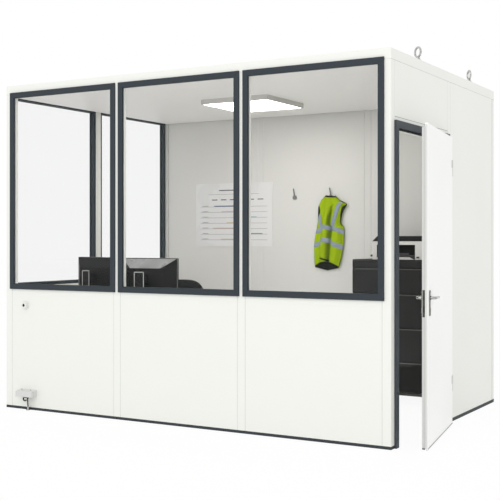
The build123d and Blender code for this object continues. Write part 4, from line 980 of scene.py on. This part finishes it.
# Drawer cabinet: folded and dark-coated steel, five drawers with bent grip edges, on four moulded feet.
# A small lock closes all the drawers.
cabinet_coat = coat("cabinet_dark_coat", (0.018, 0.018, 0.018), (0.023, 0.023, 0.023), 0.5, 1200, 0.0001, 4)
drawer_coat = coat("drawer_dark_coat", (0.020, 0.020, 0.020), (0.025, 0.025, 0.025), 0.48, 1200, 0.0001, 4)
foot_moulding = coat("black_feet", (0.022, 0.022, 0.023), (0.03, 0.03, 0.031), 0.55, 1400, 0.0001, 8)
dress(dulled(cabinet_coat, 0.15), "cabinet_body")
dress(dulled(drawer_coat, 0.15), "cabinet_drawer_fronts")
dress(foot_moulding, "cabinet_feet")
CABINET_LEFT, CABINET_RIGHT = 0.581, 1.381
GRIP_INSET, GRIP_HEIGHT, GRIP_RISE = 0.030, 0.008, 0.0035
drawer_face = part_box("cabinet_drawer_fronts")[0][1]
drawer_tops = np.array([0.333, 0.600, 0.871, 1.076]) - 0.006
grip_start = np.column_stack([np.full(4, CABINET_LEFT + GRIP_INSET), np.full(4, drawer_face), drawer_tops])
grip_end = grip_start + (CABINET_RIGHT - CABINET_LEFT - 2 * GRIP_INSET, 0, 0)
grip_metal = coat("grip_edge", (0.085, 0.085, 0.083), (0.07, 0.07, 0.068), 0.4, 600, 0.00004, 10, 0.3)
grips = strips(grip_start, grip_end, (0, -1, 0), GRIP_HEIGHT, GRIP_RISE)
piece("drawer_grips", grips, grip_metal)
LOCK = [(0.0001, -0.001), (0.0085, -0.001), (0.0085, 0.0020), (0.0074, 0.0030), (0.0030, 0.0030),
        (0.0024, 0.0022)]
lock_place = (CABINET_RIGHT - 0.060, drawer_face, 1.112)
piece("cabinet_lock", turned(LOCK, lock_place, (0, -1, 0)), steel_painted_dark_reflection)

# Printer: pale moulded case with a dark scanner lid, standing on the cabinet.
# Its slot is lined dark down to a dark apron, and a pale lip stands before the tray. A dark button sits at
# the right of the lip, and a short dark paper stop stands out of the left side.
printer_pale = coat("pale_moulding", (0.66, 0.65, 0.63), (0.62, 0.61, 0.59), 0.45, 1500, 0.0001, 5)
LID_DARK, LID_SHADE = (0.014, 0.014, 0.0135), (0.019, 0.019, 0.0185)
printer_dark = coat("dark_lid_moulding", LID_DARK, LID_SHADE, 0.42, 1500, 0.0001, 5)
dress(printer_pale, "printer_body")
dress(dulled(printer_dark, 0.15), "printer_lid")
SLOT_LEFT, SLOT_RIGHT, SLOT_LOW, SLOT_HIGH, PRINTER_FRONT = 0.785, 1.111, 1.174, 1.264, 1.670
LINE, SLOT_DEPTH, LINING_DEPTH, SIDE_HALF = 0.0012, 0.188, 0.182, 0.044
slot_middle, slot_height = (SLOT_LOW + SLOT_HIGH) / 2, SLOT_HIGH - SLOT_LOW
lining_y = PRINTER_FRONT + SLOT_DEPTH / 2 + 0.002


def across_printer(left, right, back, level, facing, width, depth):
    """Strip that runs across the printer from left to right at one place and level."""
    return strips((left, back, level), (right, back, level), facing, width, depth)


lining_end = ((SLOT_LEFT + SLOT_RIGHT) / 2, PRINTER_FRONT + SLOT_DEPTH, slot_middle)
lining_half = ((SLOT_RIGHT - SLOT_LEFT) / 2 - LINE, slot_height / 2 - LINE)
lining_shapes = [slab(lining_end, lining_half, (0, -1, 0), LINE)]
for x, way in ((SLOT_LEFT, 1), (SLOT_RIGHT, -1)):
    side_low, side_high = (x, lining_y, slot_middle - SIDE_HALF), (x, lining_y, slot_middle + SIDE_HALF)
    lining_shapes.append(strips(side_low, side_high, (way, 0, 0), LINING_DEPTH, LINE))
for z, way in ((SLOT_HIGH, -1), (SLOT_LOW, 1)):
    lining_shapes.append(across_printer(SLOT_LEFT + 0.002, SLOT_RIGHT - 0.002, lining_y, z, (0, 0, way),
                                        LINING_DEPTH, LINE))
tray_dark = coat("tray_moulding", (0.016, 0.016, 0.017), (0.022, 0.022, 0.023), 0.5, 1500, 0.0001, 8)
piece("printer_tray_lining", joined(*lining_shapes), tray_dark)
tray_plate = across_printer(SLOT_LEFT + 0.003, SLOT_RIGHT - 0.003, PRINTER_FRONT + 0.090, SLOT_LOW + LINE,
                            (0, 0, 1), 0.150, 0.006)
tray_stop = across_printer(SLOT_LEFT + 0.003, SLOT_RIGHT - 0.060, PRINTER_FRONT + 0.030, SLOT_LOW + 0.010,
                           (0, -1, 0), 0.030, 0.004)
tray_grey = coat("tray_grey_moulding", (0.050, 0.050, 0.052), (0.040, 0.040, 0.042), 0.5, 1500, 0.0001, 8)
piece("printer_tray", joined(tray_plate, tray_stop), tray_grey)
APRON_LOW, APRON_HIGH, APRON_DEPTH = 1.1480, SLOT_LOW + 0.0015, 0.0012
apron = across_printer(SLOT_LEFT, SLOT_RIGHT, PRINTER_FRONT + 0.0002, (APRON_LOW + APRON_HIGH) / 2,
                       (0, -1, 0), APRON_HIGH - APRON_LOW, APRON_DEPTH)
piece("printer_apron", apron, tray_dark)
LIP_LOW, LIP_HIGH, LIP_DEPTH = 1.1466, 1.1652, 0.0032
lip_face = np.array([(SLOT_LEFT + 0.001, 0, LIP_LOW), (SLOT_RIGHT - 0.009, 0, LIP_LOW),
                     (SLOT_RIGHT - 0.046, 0, LIP_HIGH), (SLOT_LEFT + 0.001, 0, LIP_HIGH)])
lip_face = lip_face + (0, PRINTER_FRONT - 0.0042, 0)
lip_points = np.concatenate([lip_face, lip_face + (0, LIP_DEPTH, 0)])
lip_sides = [(0, 1, 2, 3), (4, 5, 6, 7), (0, 1, 5, 4), (1, 2, 6, 5), (2, 3, 7, 6), (3, 0, 4, 7)]
piece("printer_tray_lip", (lip_points, lip_sides), printer_pale)
BUTTON_HALF, BUTTON_RISE = (0.0115, 0.0058), 0.0020
button = slab((1.134, PRINTER_FRONT - 0.0004, 1.1645), BUTTON_HALF, (0, -1, 0), BUTTON_RISE)
piece("printer_button", button, tray_dark)
printer_left = float(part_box("printer_body")[0][0])
side_stop = across_printer(printer_left - 0.032, printer_left + 0.0005, PRINTER_FRONT + 0.120, 1.1760,
                           (0, -1, 0), 0.0160, 0.080)
piece("printer_side_stop", side_stop, tray_dark)

# Cable bush: a white moulded boss screwed to the front wall, with a black rubber sleeve in its hole.
# The sleeve closes round a lead when one is drawn in.
fitting_white = coat("white_moulding", (0.80, 0.80, 0.78), (0.76, 0.76, 0.74), 0.4, 1200, 0.00006, 8)
dress(fitting_white, "cable_bush")
BUSH = (-1.404, -0.057, 0.801)
SLEEVE = [(0.0001, -0.020), (0.0113, -0.020), (0.0113, -0.001), (0.0098, -0.0004), (0.0086, -0.002),
          (0.0080, -0.012), (0.0001, -0.013)]
piece("bush_sleeve", turned(SLEEVE, BUSH, (0, -1, 0)), black_rubber)


# Power inlet: a closed pale grey plastic box low on the front wall, its sloped lid held by two screw caps.
# A black bail hangs below it, and a short lead goes down from a gland into a sleeve clipped to the rail.
def inlet_top(y):
    """Height of the box's sloped lid at a place out from the wall."""
    return 0.157 - 0.012 * (FRONT - y) / 0.062


def tube(path, radius, segments=8):
    """Round bar along a path: a circle stood square to the path at each of its points, with flat ends."""
    path = np.asarray(path, float)
    ahead = np.gradient(path, axis=0)
    ahead /= np.linalg.norm(ahead, axis=1, keepdims=True)
    level = np.eye(3)[np.argmin(np.abs(ahead).max(0))]
    side = np.cross(ahead, level)
    side /= np.linalg.norm(side, axis=1, keepdims=True)
    angle = np.linspace(0, 2 * math.pi, segments, endpoint=False)
    ring = np.cos(angle)[:, None] * side[:, None] + np.sin(angle)[:, None] * np.cross(ahead, side)[:, None]
    points = path[:, None] + radius * ring
    n, s = len(path), segments
    walls = [(a * s + b, a * s + (b + 1) % s, (a + 1) * s + (b + 1) % s, (a + 1) * s + b)
             for a in range(n - 1) for b in range(s)]
    caps = [tuple(range(s)), tuple(range((n - 1) * s, n * s))[::-1]]
    return points.reshape(-1, 3), walls + caps


box_grey = coat("pale_grey_moulding", (0.70, 0.70, 0.69), (0.62, 0.62, 0.61), 0.42, 1200, 0.00008, 60)
dress(box_grey, "inlet_box")
BOX_LEFT, BOX_RIGHT, BOX_LOW, SEAM_Y, SEAM = -1.457, -1.293, 0.103, -0.070, 0.0016
seam_top = float(inlet_top(SEAM_Y))
seam_corners = np.array([(BOX_LEFT, SEAM_Y, BOX_LOW), (BOX_LEFT, SEAM_Y, seam_top),
                         (BOX_RIGHT, SEAM_Y, seam_top), (BOX_RIGHT, SEAM_Y, BOX_LOW)])
seam_out = np.array([(-1, 0, 0), (0, 0, 1), (1, 0, 0), (0, 0, -1)], float)
seam_sink = seam_out * 0.0002
box_seam = strips(seam_corners - seam_sink, np.roll(seam_corners, -1, 0) - seam_sink, seam_out, SEAM, 0.0006)
piece("inlet_lid_seam", box_seam, grey_seal)
cap_y = -0.050
lid_caps = np.array([(x, cap_y, float(inlet_top(cap_y))) for x in (BOX_LEFT + 0.030, BOX_RIGHT - 0.045)])
LID_CAP = [(0.0001, -0.002), (0.0060, -0.002), (0.0060, 0.0012), (0.0050, 0.0022), (0.0022, 0.0026)]
piece("inlet_lid_caps", turned(LID_CAP, lid_caps, (0, -0.19, 0.98)), grey_seal)
bail_turn = np.radians(np.linspace(50, 335, 24))
BAIL_X, BAIL_Y, BAIL_REACH = -1.373, -0.075, (0.0150, 0.0130)
bail_path = np.column_stack([BAIL_X + BAIL_REACH[0] * np.cos(bail_turn), np.full(24, BAIL_Y),
                             BOX_LOW - 0.0155 + BAIL_REACH[1] * np.sin(bail_turn)])
LEAD = 0.009
lead_route = [(-1.359, -0.060, 0.091), (-1.359, -0.060, 0.072), (-1.355, -0.0615, 0.048),
              (-1.350, -0.064, 0.024)]
lead_curve = bpy.data.curves.new("inlet_lead", "CURVE")
lead_curve.dimensions = "3D"
lead_curve.bevel_depth = LEAD / 2
lead_curve.bevel_resolution = 5
lead_curve.use_fill_caps = True
lead_run = lead_curve.splines.new("NURBS")
lead_run.points.add(len(lead_route) - 1)
lead_run.points.foreach_set("co", np.column_stack([lead_route, np.ones(len(lead_route))]).ravel())
lead_run.order_u = 3
lead_run.use_endpoint_u = True
lead_run.resolution_u = 12
lead = bpy.data.objects.new("inlet_lead", lead_curve)
bpy.context.scene.collection.objects.link(lead)
lead_curve.materials.append(black_rubber)
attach(lead, "cabin")
GLAND = [(0.0047, 0.0135), (0.0105, 0.0140), (0.0105, 0.0095), (0.0098, 0.0085), (0.0098, 0.0040),
         (0.0080, 0.0015), (0.0062, 0.0005), (0.0047, 0.0005)]
gland_shape = tube_ring(GLAND, (-1.359, -0.060, 0.089), (0, 0, 1), 24)
gland = piece("inlet_gland", gland_shape, black_rubber)
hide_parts("inlet_cable")
BAIL_RADIUS = 0.0054
piece("inlet_bail", tube(bail_path, BAIL_RADIUS), black_rubber)
dress(rail_coat, "cable_clip")
sleeve_grey = coat("pale_lead_sleeve", (0.48, 0.48, 0.47), (0.42, 0.42, 0.41), 0.5, 900, 0.0001, 20)
LEAD_SLEEVE = [(0.0001, 0.0012), (0.0060, 0.0012), (0.0065, 0.0020), (0.0065, 0.0270), (0.0055, 0.0300)]
sleeve_shape = turned(LEAD_SLEEVE, (-1.3505, -0.0655, 0), (0, 0, 1), 20)
piece("lead_sleeve", sleeve_shape, sleeve_grey)
